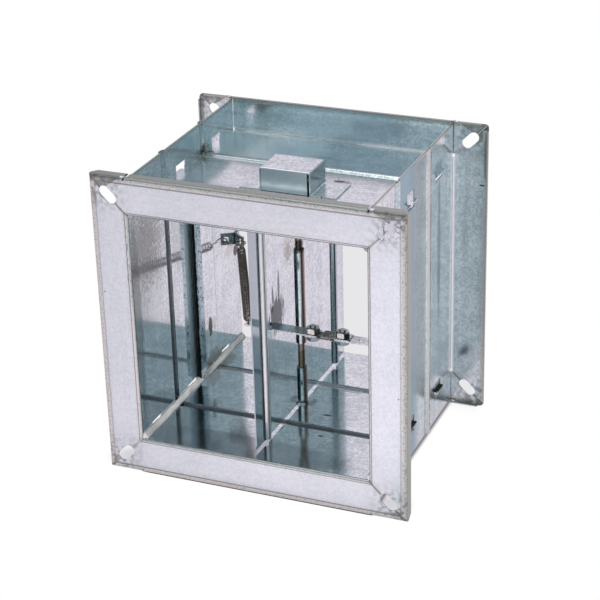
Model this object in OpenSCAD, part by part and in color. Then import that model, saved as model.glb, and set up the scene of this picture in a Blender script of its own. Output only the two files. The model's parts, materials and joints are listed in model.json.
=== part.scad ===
// Fire damper for a rectangular duct. Four folded sheet panels, joined by tabs and
// windows, make the casing with a flange at each end. A pressed blade swings on an
// upright axle. A soldered link holds it open along the air flow, and a long spring
// pulls it shut against two stop strips once the solder has melted.
// Seen from the front: X to the right, Y along the duct, Z up. All sizes in mm.

/* [Duct] */
// Clear width between the side panels
duct_w = 200; // [180:5:280]
// Clear height between the top and bottom panels
duct_h = 200; // [180:5:280]
// Length from the front flange face to the rear one
duct_l = 207; // [200:1:260]
// Thickness of the casing sheet
sheet_t = 1; // [0.8:0.1:1.2]

/* [Flanges] */
// Width of the flange faces, from the clear opening to the outer edge
flange_w = 32; // [29:0.5:40]
// Depth of the lip turned back along the front flange
front_lip = 9.5; // [7:0.5:13]
// Depth of the lip turned forward along the rear flange
rear_lip = 4.5; // [4:0.5:8]
// Outer radius of the fold between a wall and its flange
fold_r = 2.4; // [1.6:0.1:2.6]
// Outer radius of the fold between the front flange and its lip
front_edge_r = 3; // [2:0.1:3.5]
// Outer radius of the fold between the rear flange and its lip
rear_edge_r = 2; // [1.6:0.1:2.6]
// Rounding of the rear flange's outer corners
rear_corner_r = 4.5; // [3:0.5:6]
// Gap along the mitre between two flange pieces
mitre_gap = 0.25; // [0.2:0.05:1]
// How much a front lip is cut back at its ends
lip_slant = 5; // [3:0.5:8]
// How far the side panels' fins end short of the flange's outer edge
fin_drop = 2; // [1.6:0.1:4]
// Width of the notches where the lips pass the fins
fin_notch = 2.2; // [1.6:0.1:5]
// Diameter of the relief holes in the rear flange's inner corners
relief_d = 3; // [2:0.2:4]

/* [Flange slots] */
// Width of the diagonal bolt slots
slot_w = 9; // [6:0.1:10]
// Distance between the centres of a slot's two round ends
slot_run = 8; // [5:0.5:11]
// Distance from the flange's outer edges to the middle of a slot
slot_inset = 16; // [14:0.5:17]

/* [Ribs] */
// Width of a stiffening rib at its foot
rib_w = 8; // [6:0.5:10]
// Width of a rib's flat crown
rib_crown = 3; // [2:0.5:4]
// Height of a rib above the wall
rib_h = 2.2; // [1.2:0.1:3]
// Distance from the front face to the first rib
rib_front = 67; // [60:1:75]
// Distance from the front face to the second rib
rib_rear = 141; // [136:1:150]

/* [Corner joints] */
// Distance from the front face to the middle joint
joint_middle = 98; // [92:1:104]
// Distance between neighbouring joints along the duct
joint_pitch = 70; // [60:1:74]
// Length of the joint windows along the duct
window_l = 17; // [13:0.5:18]
// Height of the joint windows
window_h = 15; // [8:0.5:16]
// Distance from the clear opening to the middle of the windows
window_out = 1.5; // [0:0.1:2.5]
// Gap between a tab and the ends of its window
tab_play = 1; // [0.5:0.1:2]
// How far a tab stands out of the side panel
tab_out = 3; // [1:0.5:5]
// Leg of the sealant beads in the inner corners
sealant_leg = 6.2; // [3:0.1:6.4]
// Gap between the sealant and the blade stops
sealant_gap = 0.3; // [0.2:0.1:1]

/* [Axle] */
// Distance from the front face to the axle
axle_from_front = 106; // [100:1:112]
// Diameter of the axle rod
axle_d = 7; // [6:0.1:8]
// Radial running clearance of the rod in its bushes
axle_clearance = 0.05; // [0.02:0.01:0.08]
// Wall thickness of the bush barrels
bush_wall = 1.5; // [1:0.1:2]
// Diameter of the bush flanges
bush_flange_d = 13; // [12.4:0.1:16]
// Thickness of the bush flanges
bush_flange_t = 1.5; // [1:0.1:2]
// How far the bush barrels stand out of the wall
bush_out = 3; // [1:0.5:5]
// Height to which the rod stands out of the top wall
axle_top_out = 11; // [6:0.5:14]

/* [Axle covers] */
// Width of a cover's cap
cover_w = 44; // [36:1:56]
// Height of a cover's cap above the duct's clear opening
cover_h = 21; // [18:0.5:25]
// How far a cover reaches ahead of the axle
cover_ahead = 24; // [18:0.5:28]
// How far a cover reaches behind the axle
cover_behind = 9; // [8:0.5:16]
// Length of a cover's left foot
cover_foot_left = 18; // [12:1:24]
// Length of a cover's right foot
cover_foot_right = 22; // [12:1:26]
// Width of the open seam beside a cover's end flaps
cover_seam = 1.75; // [0.5:0.25:3]
// Outer radius of a cover's folds
cover_r = 1.6; // [1.3:0.1:2]

/* [Blade] */
// Thickness of the blade sheet
blade_t = 1; // [0.8:0.1:1.2]
// Gap between the blade's upright edges and the side walls when it is shut
blade_side_gap = 5; // [4:0.5:7]
// Gap between the blade's ends and the top and bottom walls
blade_end_gap = 3; // [2.4:0.1:4]
// How far the open blade is turned out of the duct's line, in degrees
blade_tilt = 1; // [0.8:0.1:1.2]
// Distance from the blade's front edge to the front bead
bead_in_front = 21; // [17:0.5:22]
// Distance from the blade's rear edge to the rear bead
bead_in_rear = 22; // [17:0.5:24]
// Outer radius of the pressed beads
bead_r = 3.8; // [3:0.1:4.6]
// Clear radius between the rod and the pressed loops
loop_clear = 0.4; // [0.2:0.05:0.6]
// Radius of the fillets at the feet of the pressings
loop_foot_r = 2; // [1.5:0.1:2.5]
// Height from the middle to the end of the middle loop
loop_middle = 43; // [36:1:50]
// Height of the loops on the other face
loop_band = 23; // [16:1:28]
// Width of the slits between neighbouring loops
loop_slit = 0.4; // [0.3:0.1:1]

/* [Blade stops] */
// Thickness of the stop strips
stop_t = 1.2; // [1:0.1:1.6]
// How far the stop strips stand out of the side walls
stop_reach = 9.5; // [8.5:0.1:12]
// Outer radius of the bend between a stop strip's leg and foot
stop_bend_r = 3; // [1.8:0.1:4]
// Gap between the shut blade's tip and the stop strip
stop_rest_gap = 0.34; // [0.3:0.01:0.6]
// Gap between the ends of a stop strip and the top and bottom walls
stop_end_gap = 4; // [3.6:0.1:8]
// Width of the stop strips' welded foot, along the wall
stop_foot = 41; // [30:0.5:44]

/* [Fusible link] */
// Distance from the blade's front bead to the line of the link
link_behind_bead = 11.5; // [11.5:0.5:16]
// Distance from the blade to the blade screw
blade_screw_x = 39; // [34:0.5:42]
// Distance between the blade screw and the wall screw
screw_pitch = 25; // [24:0.5:28]
// Width of the straps and link plates
strap_w = 12; // [11:0.5:14]
// Thickness of the straps
strap_t = 1.2; // [1:0.1:1.5]
// Outer radius of the straps' bends
strap_bend_r = 2; // [1.7:0.1:2.5]
// Length of the straps' welded feet
strap_foot = 12; // [8:0.5:16]
// How far the blade strap's tongue reaches through the blade
tongue_reach = 19.5; // [18:0.5:24]
// Distance from the tongue's end to the spring hole
tongue_eye_in = 3; // [2.6:0.1:3.6]
// Diameter of the spring hole in the tongue
tongue_eye_d = 3.2; // [2.4:0.1:3.4]
// Thickness of the link plates
plate_t = 0.8; // [0.6:0.1:1.2]
// Length of each link plate
plate_l = 24; // [22:0.5:26]
// How far a link plate and a strap reach past their screw
screw_margin = 5; // [5:0.1:6]
// Thickness of the solder layer
solder_t = 0.25; // [0.2:0.05:0.4]
// Parting gap between the solder and the blade's link plate
parting_gap = 0.25; // [0.2:0.05:0.4]
// Diameter of the small hole in the wall strap
wall_strap_hole_d = 3.5; // [2:0.1:5]
// Distance from the wall screw to the small hole
wall_strap_hole_x = 15; // [12:0.5:20]

/* [Link screws] */
// Shank diameter of the link screws
screw_d = 6; // [4:0.5:6]
// Radial clearance of the shanks in holes and nuts
screw_clearance = 0.1; // [0.05:0.05:0.3]
// Width across flats of nuts and screw heads
hex_w = 10; // [9:0.5:11]
// Height of the nuts
nut_h = 5; // [4:0.5:6]
// Height of the screw heads
head_h = 4; // [3:0.5:5]
// How far a screw's end stands out of its nut
screw_proud = 1.5; // [0.5:0.5:3]

/* [Closing spring] */
// Outer diameter of the spring's coils
spring_d = 8; // [7:0.1:8.6]
// Diameter of the spring wire
wire_d = 1.1; // [0.8:0.05:1.3]
// Number of coils
coil_count = 48; // [40:1:52]
// Radius of the rear hook, to the middle of the wire
rear_hook_r = 4.5; // [4.3:0.1:5.2]
// Radius of the front hook, to the middle of the wire
front_hook_r = 2.8; // [2.6:0.1:3.2]
// Distance from the lug's hole to the first coil
rear_hook_l = 18; // [14:0.5:22]

/* [Spring lug] */
// Thickness of the lug plate
lug_t = 1.5; // [1.2:0.1:1.6]
// Height of the lug plate
lug_h = 11; // [9:0.5:14]
// Distance from the lug's root to its tip
lug_l = 12.8; // [12:0.1:13]
// Angle between the lug and the wall, in degrees
lug_angle = 58; // [50:1:64]
// Distance from the rear face to the lug's root
lug_from_rear = 9.7; // [9:0.1:14]
// Length of the lug's welded foot
lug_foot = 7; // [5:0.5:7]
// Distance from the lug's root to its hole
lug_eye_out = 7.7; // [7.5:0.1:8]
// Diameter of the lug's hole
lug_eye_d = 5; // [4.4:0.1:5.4]

/* [Hidden] */

$fn = 48;
bend_steps = 4;      // flats along one bend
press_steps = 10;    // flats along one pressed half round
wire_sides = 5;      // sides of the swept spring wire
coil_steps = 9;      // rings along one coil
hook_step = 18;      // degrees between the rings of a hook
cut = 1;             // how far a cutting shape reaches past what it cuts
fold_gap = 0.3;      // between a fold and the edge of the next sheet
seat_gap = 0.3;      // under the axle's foot
slot_play = 0.3;     // round the tongue in the blade's slot
nut_chamfer = 0.6;   // height of the bevels on nuts and heads

half_w = duct_w / 2;
half_h = duct_h / 2;
half_l = duct_l / 2;
axis_height = half_h + flange_w;
rib_bend_r = sheet_t + 0.3;
wall_top = half_h + sheet_t;
axle_y = axle_from_front - half_l;
axle_r = axle_d / 2;
bush_r = axle_r + axle_clearance + bush_wall;
rib_places = [rib_front - half_l, rib_rear - half_l];
joint_places = [for (i = [-1 : 1]) joint_middle - half_l + i * joint_pitch];
tab_l = window_l - 2 * tab_play;
blade_half = half_w - blade_side_gap;
blade_top = half_h - blade_end_gap;
loop_r = axle_r + loop_clear + blade_t / 2;
stop_face = blade_half * sin(blade_tilt) + blade_t / 2 + stop_rest_gap;
stop_top = half_h - stop_end_gap;
tongue_w = strap_w / 2;
blade_face = blade_t / 2;
strap_middle = -blade_half + bead_in_front + link_behind_bead;
link_y = axle_y + strap_middle;
strap_out = blade_screw_x + screw_margin;
coil_r = (spring_d - wire_d) / 2;
wire_r = wire_d / 2;

// Plane geometry of bent sheet

function unit(v) = v / norm(v);
function left_of(v) = [-v[1], v[0]];
function turned(v, g) = [v[0] * cos(g) - v[1] * sin(g), v[0] * sin(g) + v[1] * cos(g)];
function turn_between(a, b) = atan2(a[0] * b[1] - a[1] * b[0], a * b);
function reversed(list) = [for (i = [len(list) - 1 : -1 : 0]) list[i]];

// Points round one corner of a bent sheet, a given distance to the left of its path
function bend_points(before, at, after, r, shift) =
    let (a = unit(at - before),
         w = turn_between(a, unit(after - at)),
         s = sign(w),
         centre = at - a * r * tan(abs(w) / 2) + s * r * left_of(a))
    [for (i = [0 : bend_steps])
        centre - s * (r - s * shift) * turned(left_of(a), w * i / bend_steps)];

// One face of a bent sheet; the path's points are [x, y, bend radius]
function face_points(path, shift) =
    let (n = len(path), q = [for (p = path) [p[0], p[1]]])
    concat(
        [q[0] + shift * left_of(unit(q[1] - q[0]))],
        [for (i = [1 : n - 2]) each bend_points(q[i - 1], q[i], q[i + 1], path[i][2], shift)],
        [q[n - 1] + shift * left_of(unit(q[n - 1] - q[n - 2]))]);

// Section of a bent sheet of thickness t on the right of its path
module bent_sheet(path, t) {
    polygon(concat(face_points(path, 0), reversed(face_points(path, -t))));
}

// Extrudes a shape drawn in X and Z along Y, between two places
module along_y(from, to) {
    translate([0, to, 0]) rotate([90, 0, 0]) linear_extrude(height = to - from) children();
}

// Extrudes a shape drawn in Y and Z along X, between two places
module along_x(from, to) {
    translate([from, 0, 0]) rotate([90, 0, 90]) linear_extrude(height = to - from) children();
}

// Block given by its lowest and highest corners
module block(low, high) {
    translate(low) cube(high - low);
}

// Raises the duct's axis so that the flanges stand on the ground
module stand() {
    translate([0, 0, axis_height]) children();
}

// Casing panels, all drawn as the one on the +X side: own is the distance from the
// duct's axis to the panel, other is the distance to the panels next to it

function rib_path(y, own) = [
    [own, y - rib_w / 2, rib_bend_r],
    [own + rib_h, y - rib_crown / 2, rib_bend_r],
    [own + rib_h, y + rib_crown / 2, rib_bend_r],
    [own, y + rib_w / 2, rib_bend_r]];

function panel_path(own) = concat(
    [[own + flange_w, -half_l + front_lip, 0],
     [own + flange_w, -half_l, front_edge_r],
     [own, -half_l, fold_r]],
    rib_path(rib_places[0], own),
    rib_path(rib_places[1], own),
    [[own, half_l, fold_r],
     [own + flange_w, half_l, rear_edge_r],
     [own + flange_w, half_l - rear_lip, 0]]);

module panel_sheet(own, other) {
    linear_extrude(height = 2 * (other + flange_w), center = true)
        bent_sheet(panel_path(own), sheet_t);
}

// Space between the two mitre lines of a flange piece
module mitre_space(own, other) {
    back = mitre_gap / 2 * sqrt(2);
    near = other - cut - back;
    far = other + flange_w + cut - back;
    along_y(-half_l - cut, half_l + cut)
        polygon([[own - cut, -near], [own + flange_w + cut, -far],
                 [own + flange_w + cut, far], [own - cut, near]]);
}

// Space of a panel's wall between its two folds
module wall_space(own, reach) {
    deep = half_l - fold_r - fold_gap;
    block([own - cut, -deep, -reach], [own + rib_h + sheet_t + cut, deep, reach]);
}

// Half slots, cut lip ends and rounded rear corners, at both ends of a flange piece
module flange_end_cuts(own, other) {
    edge = own + flange_w;
    end = other + flange_w;
    for (s = [-1, 1]) {
        translate([edge - slot_inset, 0, s * (end - slot_inset)]) rotate([0, -45 * s, 0])
            along_y(-half_l - cut, half_l + cut) {
                square([slot_run, slot_w], center = true);
                for (k = [-1, 1]) translate([k * slot_run / 2, 0]) circle(d = slot_w);
            }
        along_x(edge - front_edge_r - cut, edge + cut)
            polygon([[-half_l + front_edge_r, s * (end + cut)],
                     [-half_l + front_lip + cut, s * (end - lip_slant)],
                     [-half_l + front_lip + cut, s * (end + cut)]]);
        scale_end = end - rear_corner_r - cut;
        block([edge - rear_edge_r - cut, half_l - rear_lip - cut, min(s * scale_end, s * (end + cut))],
              [edge + cut, half_l - rear_edge_r, max(s * scale_end, s * (end + cut))]);
        along_y(half_l - rear_lip - cut, half_l + cut)
            polygon(concat([[edge + cut, s * (end + cut)], [edge + cut, s * (end - rear_corner_r)]],
                [for (i = [0 : bend_steps])
                    let (g = 90 * i / bend_steps)
                    [edge - rear_corner_r * (1 - cos(g)), s * (end - rear_corner_r * (1 - sin(g)))]],
                [[edge - rear_corner_r, s * (end + cut)]]));
        translate([own + sheet_t, 0, s * (other + sheet_t)])
            along_y(half_l - fold_r - fold_gap, half_l + cut) circle(d = relief_d);
    }
}

module side_panel() {
    own = half_w;
    joint_z = half_h + window_out;
    difference() {
        intersection() {
            panel_sheet(own, half_h);
            union() {
                mitre_space(own, half_h);
                wall_space(own, half_h + flange_w - fin_drop);
            }
        }
        flange_end_cuts(own, half_h);
        for (y = joint_places, s = [-1, 1])
            translate([own, y, s * joint_z])
                cube([2 * (rib_h + sheet_t + cut), window_l, window_h], center = true);
    }
}

// Drawn on the +X side too, and turned up by its users
module flat_panel() {
    own = half_h;
    edge = own + flange_w;
    deep = half_l - fold_r - fold_gap;
    tab_end = half_w + sheet_t + tab_out;
    lip_space = front_edge_r + sheet_t;
    difference() {
        intersection() {
            panel_sheet(own, half_w);
            union() {
                difference() {
                    mitre_space(own, half_w);
                    block([own - 2 * cut, -deep, -tab_end], [edge - lip_space, deep, tab_end]);
                    block([own - 2 * cut, -deep, -edge - 2 * half_w], [edge - lip_space, deep, -half_w]);
                    block([own - 2 * cut, -deep, half_w], [edge - lip_space, deep, edge + 2 * half_w]);
                }
                wall_space(own, half_w);
                for (y = joint_places)
                    block([own - cut, y - tab_l / 2, -tab_end], [own + rib_h, y + tab_l / 2, tab_end]);
            }
        }
        flange_end_cuts(own, half_w);
        for (s = [-1, 1]) {
            middle = s * (half_w + sheet_t / 2);
            block([edge - lip_space, -half_l + front_edge_r, middle - fin_notch / 2],
                  [edge + cut, -half_l + front_lip + cut, middle + fin_notch / 2]);
            block([edge - lip_space, half_l - rear_lip - cut, middle - fin_notch / 2],
                  [edge + cut, half_l - rear_edge_r, middle + fin_notch / 2]);
        }
        translate([own - cut, axle_y, 0]) rotate([0, 90, 0])
            cylinder(r = bush_r + axle_clearance, h = sheet_t + rib_h + 2 * cut);
    }
}

module right_panel() {
    color([0.72, 0.78, 0.82]) stand() side_panel();
}

module left_panel() {
    color([0.72, 0.78, 0.82]) stand() mirror([1, 0, 0]) side_panel();
}

module top_panel() {
    color([0.76, 0.80, 0.83]) stand() rotate([0, -90, 0]) flat_panel();
}

module bottom_panel() {
    color([0.76, 0.80, 0.83]) stand() mirror([0, 0, 1]) rotate([0, -90, 0]) flat_panel();
}

// A fillet of sealant in each inner corner of the duct, left out round the blade stops
module corner_sealant() {
    deep = half_l - fold_r - fold_gap;
    near = stop_face - sealant_gap;
    far = stop_face + stop_foot + sealant_gap;
    top = stop_top + sealant_gap;
    color([0.80, 0.80, 0.78]) stand() difference() {
        for (sx = [-1, 1], sz = [-1, 1])
            along_y(-deep, deep)
                polygon([[sx * half_w, sz * half_h],
                         [sx * (half_w - sealant_leg), sz * half_h],
                         [sx * half_w, sz * (half_h - sealant_leg)]]);
        for (turn = [0, 180])
            translate([0, axle_y, 0]) rotate([0, 0, turn])
                block([-half_w - cut, near, -top], [-half_w + sealant_leg + cut, far, top]);
    }
}

// Blade stops: an angle whose foot is welded to the wall. The left one is drawn about
// the axle; the right one is the same angle turned half round the axle.
module stop_strip() {
    translate([0, 0, -stop_top]) linear_extrude(height = 2 * stop_top)
        bent_sheet([[-half_w, stop_face + stop_foot, 0],
                    [-half_w, stop_face, stop_bend_r],
                    [-half_w + stop_reach, stop_face, 0]], -stop_t);
}

module left_stop() {
    color([0.66, 0.72, 0.76]) stand() translate([0, axle_y, 0]) stop_strip();
}

module right_stop() {
    color([0.66, 0.72, 0.76]) stand() translate([0, axle_y, 0]) rotate([0, 0, 180]) stop_strip();
}

// Caps over the axle's ends: a hat section closed by a flap at each end
module axle_cover() {
    side = cover_w / 2;
    foot = wall_top + sheet_t;
    top = half_h + cover_h;
    front = axle_y - cover_ahead;
    back = axle_y + cover_behind;
    left_end = -side - cover_foot_left;
    right_end = side + cover_foot_right;
    hat = [[left_end, foot, 0], [-side, foot, cover_r], [-side, top, cover_r],
           [side, top, cover_r], [side, foot, cover_r], [right_end, foot, 0]];
    lengthwise = [[front, wall_top, 0], [front, top, cover_r], [back, top, cover_r], [back, wall_top, 0]];
    difference() {
        intersection() {
            along_y(front, back)
                polygon(concat(face_points(hat, 0), [[right_end, wall_top], [left_end, wall_top]]));
            along_x(left_end, right_end) polygon(face_points(lengthwise, 0));
        }
        intersection() {
            along_y(front - cut, back + cut)
                polygon(concat(face_points(hat, -sheet_t),
                    [[right_end, wall_top - cut], [left_end, wall_top - cut]]));
            along_x(-side - 2 * cover_r, side + 2 * cover_r)
                polygon(concat([[front + sheet_t, wall_top - cut]],
                    face_points(lengthwise, -sheet_t), [[back - sheet_t, wall_top - cut]]));
        }
        for (y = [front, back - sheet_t]) {
            block([side - sheet_t - cover_seam, y - cut, wall_top - cut],
                  [side - sheet_t, y + sheet_t + cut, top - cover_r]);
            block([-side + sheet_t, y - cut, wall_top - cut],
                  [-side + sheet_t + fold_gap, y + sheet_t + cut, top - cover_r]);
            block([-side + sheet_t, y - cut, wall_top - cut],
                  [side - sheet_t, y + sheet_t + cut, wall_top + fold_gap]);
        }
    }
}

module top_axle_cover() {
    color([0.80, 0.83, 0.86]) stand() axle_cover();
}

module bottom_axle_cover() {
    color([0.80, 0.83, 0.86]) stand() mirror([0, 0, 1]) axle_cover();
}

// Flanged bush in the top wall, its flange inside the duct
module bush() {
    translate([0, axle_y, 0]) rotate_extrude()
        polygon([[axle_r + axle_clearance, half_h - bush_flange_t],
                 [bush_flange_d / 2, half_h - bush_flange_t],
                 [bush_flange_d / 2, half_h],
                 [bush_r, half_h],
                 [bush_r, wall_top + bush_out],
                 [axle_r + axle_clearance, wall_top + bush_out]]);
}

module upper_bush() {
    color([0.70, 0.66, 0.58]) stand() bush();
}

module lower_bush() {
    color([0.70, 0.66, 0.58]) stand() mirror([0, 0, 1]) bush();
}

module axle_rod() {
    low = -(half_h + cover_h - sheet_t - seat_gap);
    color([0.62, 0.58, 0.52]) stand() translate([0, axle_y, low])
        cylinder(d = axle_d, h = wall_top + axle_top_out - low);
}

// Blade. Its section is drawn as [across, along]: across is the distance from the
// blade's plane, along the distance behind the axle.
module on_blade() {
    translate([0, axle_y, 0]) rotate([0, 0, -blade_tilt]) children();
}

// Where a point of the blade, drawn as [across, along], lies in the duct
function blade_place(p) = [0, axle_y] + turned(p, -blade_tilt);

// One face of a half-round pressing with filleted feet: r is the radius of the sheet's
// middle, side is the face that it bulges to, shift the face's distance from the middle
function pressed_points(place, r, foot_r, side, shift) =
    let (lift = asin(foot_r / (r + foot_r)),
         run = (r + foot_r) * cos(lift),
         d = side * shift)
    [for (i = [0 : bend_steps])
        let (g = (90 - lift) * i / bend_steps)
        [side * (foot_r - (foot_r - d) * cos(g)), place - run + (foot_r - d) * sin(g)],
     for (i = [0 : press_steps])
        let (g = lift + (180 - 2 * lift) * i / press_steps)
        [side * (r + d) * sin(g), place - (r + d) * cos(g)],
     for (i = [bend_steps : -1 : 0])
        let (g = (90 - lift) * i / bend_steps)
        [side * (foot_r - (foot_r - d) * cos(g)), place + run - (foot_r - d) * sin(g)]];

function blade_face_points(side, shift) = concat(
    [[shift, -blade_half]],
    pressed_points(-blade_half + bead_in_front, bead_r - blade_t / 2, loop_foot_r, 1, shift),
    pressed_points(0, loop_r, loop_foot_r, side, shift),
    pressed_points(blade_half - bead_in_rear, bead_r - blade_t / 2, loop_foot_r, 1, shift),
    [[shift, blade_half]]);

module blade_section(side) {
    polygon(concat(blade_face_points(side, blade_t / 2), reversed(blade_face_points(side, -blade_t / 2))));
}

module blade() {
    inner = loop_middle;
    outer = loop_middle + loop_band;
    bands = [[-blade_top, -outer, 1], [-outer, -inner, -1], [-inner, inner, 1],
             [inner, outer, -1], [outer, blade_top, 1]];
    loop_out = loop_r + blade_t;
    color([0.62, 0.70, 0.76]) stand() on_blade() difference() {
        union() for (b = bands)
            translate([0, 0, b[0]]) linear_extrude(height = b[1] - b[0]) blade_section(b[2]);
        for (z = [-outer, -inner, inner, outer])
            translate([0, 0, z]) cube([2 * loop_out, 2 * loop_r, loop_slit], center = true);
        block([-cut, tongue_front - slot_play, -slot_play],
              [cut, tongue_front + tongue_w + slot_play, strap_t + slot_play]);
    }
}

// Fusible link. On the blade the sizes are distances from the axle, as on the blade;
// on the wall they are places in the duct.
tongue_front = strap_middle - strap_w / 2;
tongue_eye = [-tongue_reach + tongue_eye_in, tongue_front + tongue_w / 2];
blade_screw_at = blade_place([blade_screw_x, strap_middle]);
wall_screw_x = blade_screw_at[0] + screw_pitch;
upper_plate_low = solder_t + parting_gap;

module screw_hole() {
    translate([0, 0, -strap_t - plate_t - cut])
        cylinder(r = screw_d / 2 + screw_clearance, h = 2 * (strap_t + plate_t + cut));
}

module blade_strap() {
    rear = strap_middle + strap_w / 2;
    bend_reach = blade_face + strap_bend_r + cut;
    color([0.60, 0.58, 0.55]) stand() on_blade() difference() {
        union() {
            block([-tongue_reach, tongue_front, 0], [strap_out, tongue_front + tongue_w, strap_t]);
            along_y(tongue_front + tongue_w, rear)
                bent_sheet([[blade_face, strap_t - strap_foot, 0],
                            [blade_face, strap_t, strap_bend_r],
                            [strap_out, strap_t, 0]], strap_t);
        }
        block([0, tongue_front + tongue_w, -strap_foot],
              [bend_reach, tongue_front + tongue_w + slot_play, strap_t + cut]);
        translate([blade_screw_x, strap_middle, 0]) screw_hole();
        translate([tongue_eye[0], tongue_eye[1], -cut]) cylinder(d = tongue_eye_d, h = strap_t + 2 * cut);
    }
}

// Link plate of the blade, under its strap
module blade_link_plate() {
    low = blade_screw_x - screw_margin;
    color([0.70, 0.66, 0.58]) stand() on_blade() difference() {
        block([low, tongue_front, -plate_t], [low + plate_l, tongue_front + strap_w, 0]);
        translate([blade_screw_x, strap_middle, 0]) screw_hole();
    }
}

// Link plate of the wall, on top of its strap and over the end of the blade's plate
module wall_link_plate() {
    high = wall_screw_x + screw_margin + 2;
    color([0.70, 0.66, 0.58]) stand() difference() {
        block([high - plate_l, link_y - strap_w / 2, upper_plate_low],
              [high, link_y + strap_w / 2, upper_plate_low + plate_t]);
        translate([wall_screw_x, link_y, 0]) screw_hole();
    }
}

// Solder under the wall's link plate, over the overlap of the two plates
module link_solder() {
    low = wall_screw_x + screw_margin + 2 - plate_l;
    high = blade_screw_at[0] - screw_margin + plate_l - 1;
    color([0.78, 0.78, 0.76]) stand()
        block([low + 1, link_y - strap_w / 2 + 1, parting_gap],
              [high, link_y + strap_w / 2 - 1, upper_plate_low]);
}

module wall_strap() {
    low = wall_screw_x - screw_margin;
    color([0.60, 0.58, 0.55]) stand() difference() {
        along_y(link_y - strap_w / 2, link_y + strap_w / 2)
            bent_sheet([[low, upper_plate_low, 0],
                        [half_w, upper_plate_low, strap_bend_r],
                        [half_w, upper_plate_low - strap_foot, 0]], strap_t);
        translate([wall_screw_x, link_y, 0]) screw_hole();
        translate([wall_screw_x + wall_strap_hole_x, link_y, upper_plate_low - strap_t - cut])
            cylinder(d = wall_strap_hole_d, h = strap_t + 2 * cut);
    }
}

// Six-sided block with bevelled corners
module hex_block(h) {
    corner = hex_w / 2 / cos(30);
    flat = hex_w / 2 * 0.95;
    intersection() {
        cylinder(r = corner, h = h, $fn = 6);
        rotate_extrude() polygon([[0, 0], [flat, 0], [corner, nut_chamfer],
            [corner, h - nut_chamfer], [flat, h], [0, h]]);
    }
}

// Screw with its head under the stack that lies between low and high
module hex_screw(low, high) {
    translate([0, 0, low - head_h]) {
        hex_block(head_h);
        cylinder(d = screw_d, h = head_h + high - low + nut_h + screw_proud);
    }
}

module hex_nut(low) {
    translate([0, 0, low]) difference() {
        hex_block(nut_h);
        translate([0, 0, -cut]) cylinder(r = screw_d / 2 + screw_clearance, h = nut_h + 2 * cut);
    }
}

module blade_screw() {
    color([0.72, 0.70, 0.66]) stand() on_blade()
        translate([blade_screw_x, strap_middle, 0]) hex_screw(-plate_t, strap_t);
}

module blade_nut() {
    color([0.76, 0.74, 0.70]) stand() on_blade()
        translate([blade_screw_x, strap_middle, 0]) hex_nut(strap_t);
}

module wall_screw() {
    color([0.72, 0.70, 0.66]) stand() translate([wall_screw_x, link_y, 0])
        hex_screw(upper_plate_low - strap_t, upper_plate_low + plate_t);
}

module wall_nut() {
    color([0.76, 0.74, 0.70]) stand() translate([wall_screw_x, link_y, 0])
        hex_nut(upper_plate_low + plate_t);
}

// Lug on the left wall that takes the spring's rear hook
lug_root = [-half_w, half_l - lug_from_rear];
lug_line = [sin(lug_angle), -cos(lug_angle)];
lug_middle = left_of(lug_line) * lug_t / 2;
lug_eye = lug_root + lug_line * lug_eye_out + lug_middle;
hook_level = strap_t / 2;

module spring_lug() {
    tip = lug_root + lug_line * lug_l;
    color([0.82, 0.84, 0.86]) stand() translate([0, 0, hook_level]) difference() {
        translate([0, 0, -lug_h / 2]) linear_extrude(height = lug_h)
            bent_sheet([[tip[0], tip[1], 0],
                        [lug_root[0], lug_root[1], lug_t + 0.5],
                        [lug_root[0], lug_root[1] + lug_foot, 0]], lug_t);
        translate([lug_eye[0], lug_eye[1], 0]) rotate([0, 0, -lug_angle]) rotate([0, 90, 0])
            cylinder(d = lug_eye_d, h = 3 * lug_t, center = true);
    }
}

// Closing spring, drawn along X from the lug's hole to the tongue's hole
tongue_eye_at = blade_place(tongue_eye);
spring_line = tongue_eye_at - lug_eye;
spring_span = norm(spring_line);
coils_from = rear_hook_l;
coils_to = spring_span - 2 * front_hook_r - wire_d;
coil_rings = coil_count * coil_steps;

// The first and last half coils close in on the middle line
function coil_reach(i) = coil_r * min(1, 2 * i / coil_steps, 2 * (coil_rings - i) / coil_steps);

spring_path = concat(
    [for (g = [-30 : -hook_step : -320]) [rear_hook_r * (1 + cos(g)), rear_hook_r * sin(g), 0]],
    [[2 * rear_hook_r + wire_d, rear_hook_r / 4, 0], [2 * rear_hook_r + 2 * wire_d, 0, 0]],
    [for (i = [0 : coil_rings])
        [coils_from + (coils_to - coils_from) * i / coil_rings,
         coil_reach(i) * cos(360 * i / coil_steps), coil_reach(i) * sin(360 * i / coil_steps)]],
    [for (g = [144 : -hook_step : -144])
        [spring_span - front_hook_r * (1 - cos(g)), 0, front_hook_r * sin(g)]]);

function path_line(p, i) = unit(p[min(i + 1, len(p) - 1)] - p[max(i - 1, 0)]);
function square_to(v, line) = unit(v - (v * line) * line);

// A direction carried along the path without twisting about it
function carried(p) = [
    for (i = 0, v = square_to([0, 0, 1], path_line(p, 0));
         i < len(p);
         v = square_to(v, path_line(p, i + 1 < len(p) ? i + 1 : i)), i = i + 1) v];

module swept_wire(p, r) {
    n = len(p);
    m = wire_sides;
    up = carried(p);
    rings = [for (i = [0 : n - 1], j = [0 : m - 1])
        let (across = cross(path_line(p, i), up[i]), g = 360 * j / m)
        p[i] + r * (cos(g) * up[i] + sin(g) * across)];
    walls = [for (i = [0 : n - 2], j = [0 : m - 1])
        let (a = i * m + j, b = i * m + (j + 1) % m)
        each [[a, a + m, b + m], [a, b + m, b]]];
    ends = [[for (j = [0 : m - 1]) j], [for (j = [m - 1 : -1 : 0]) (n - 1) * m + j]];
    polyhedron(points = rings, faces = concat(walls, ends), convexity = 10);
}

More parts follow.
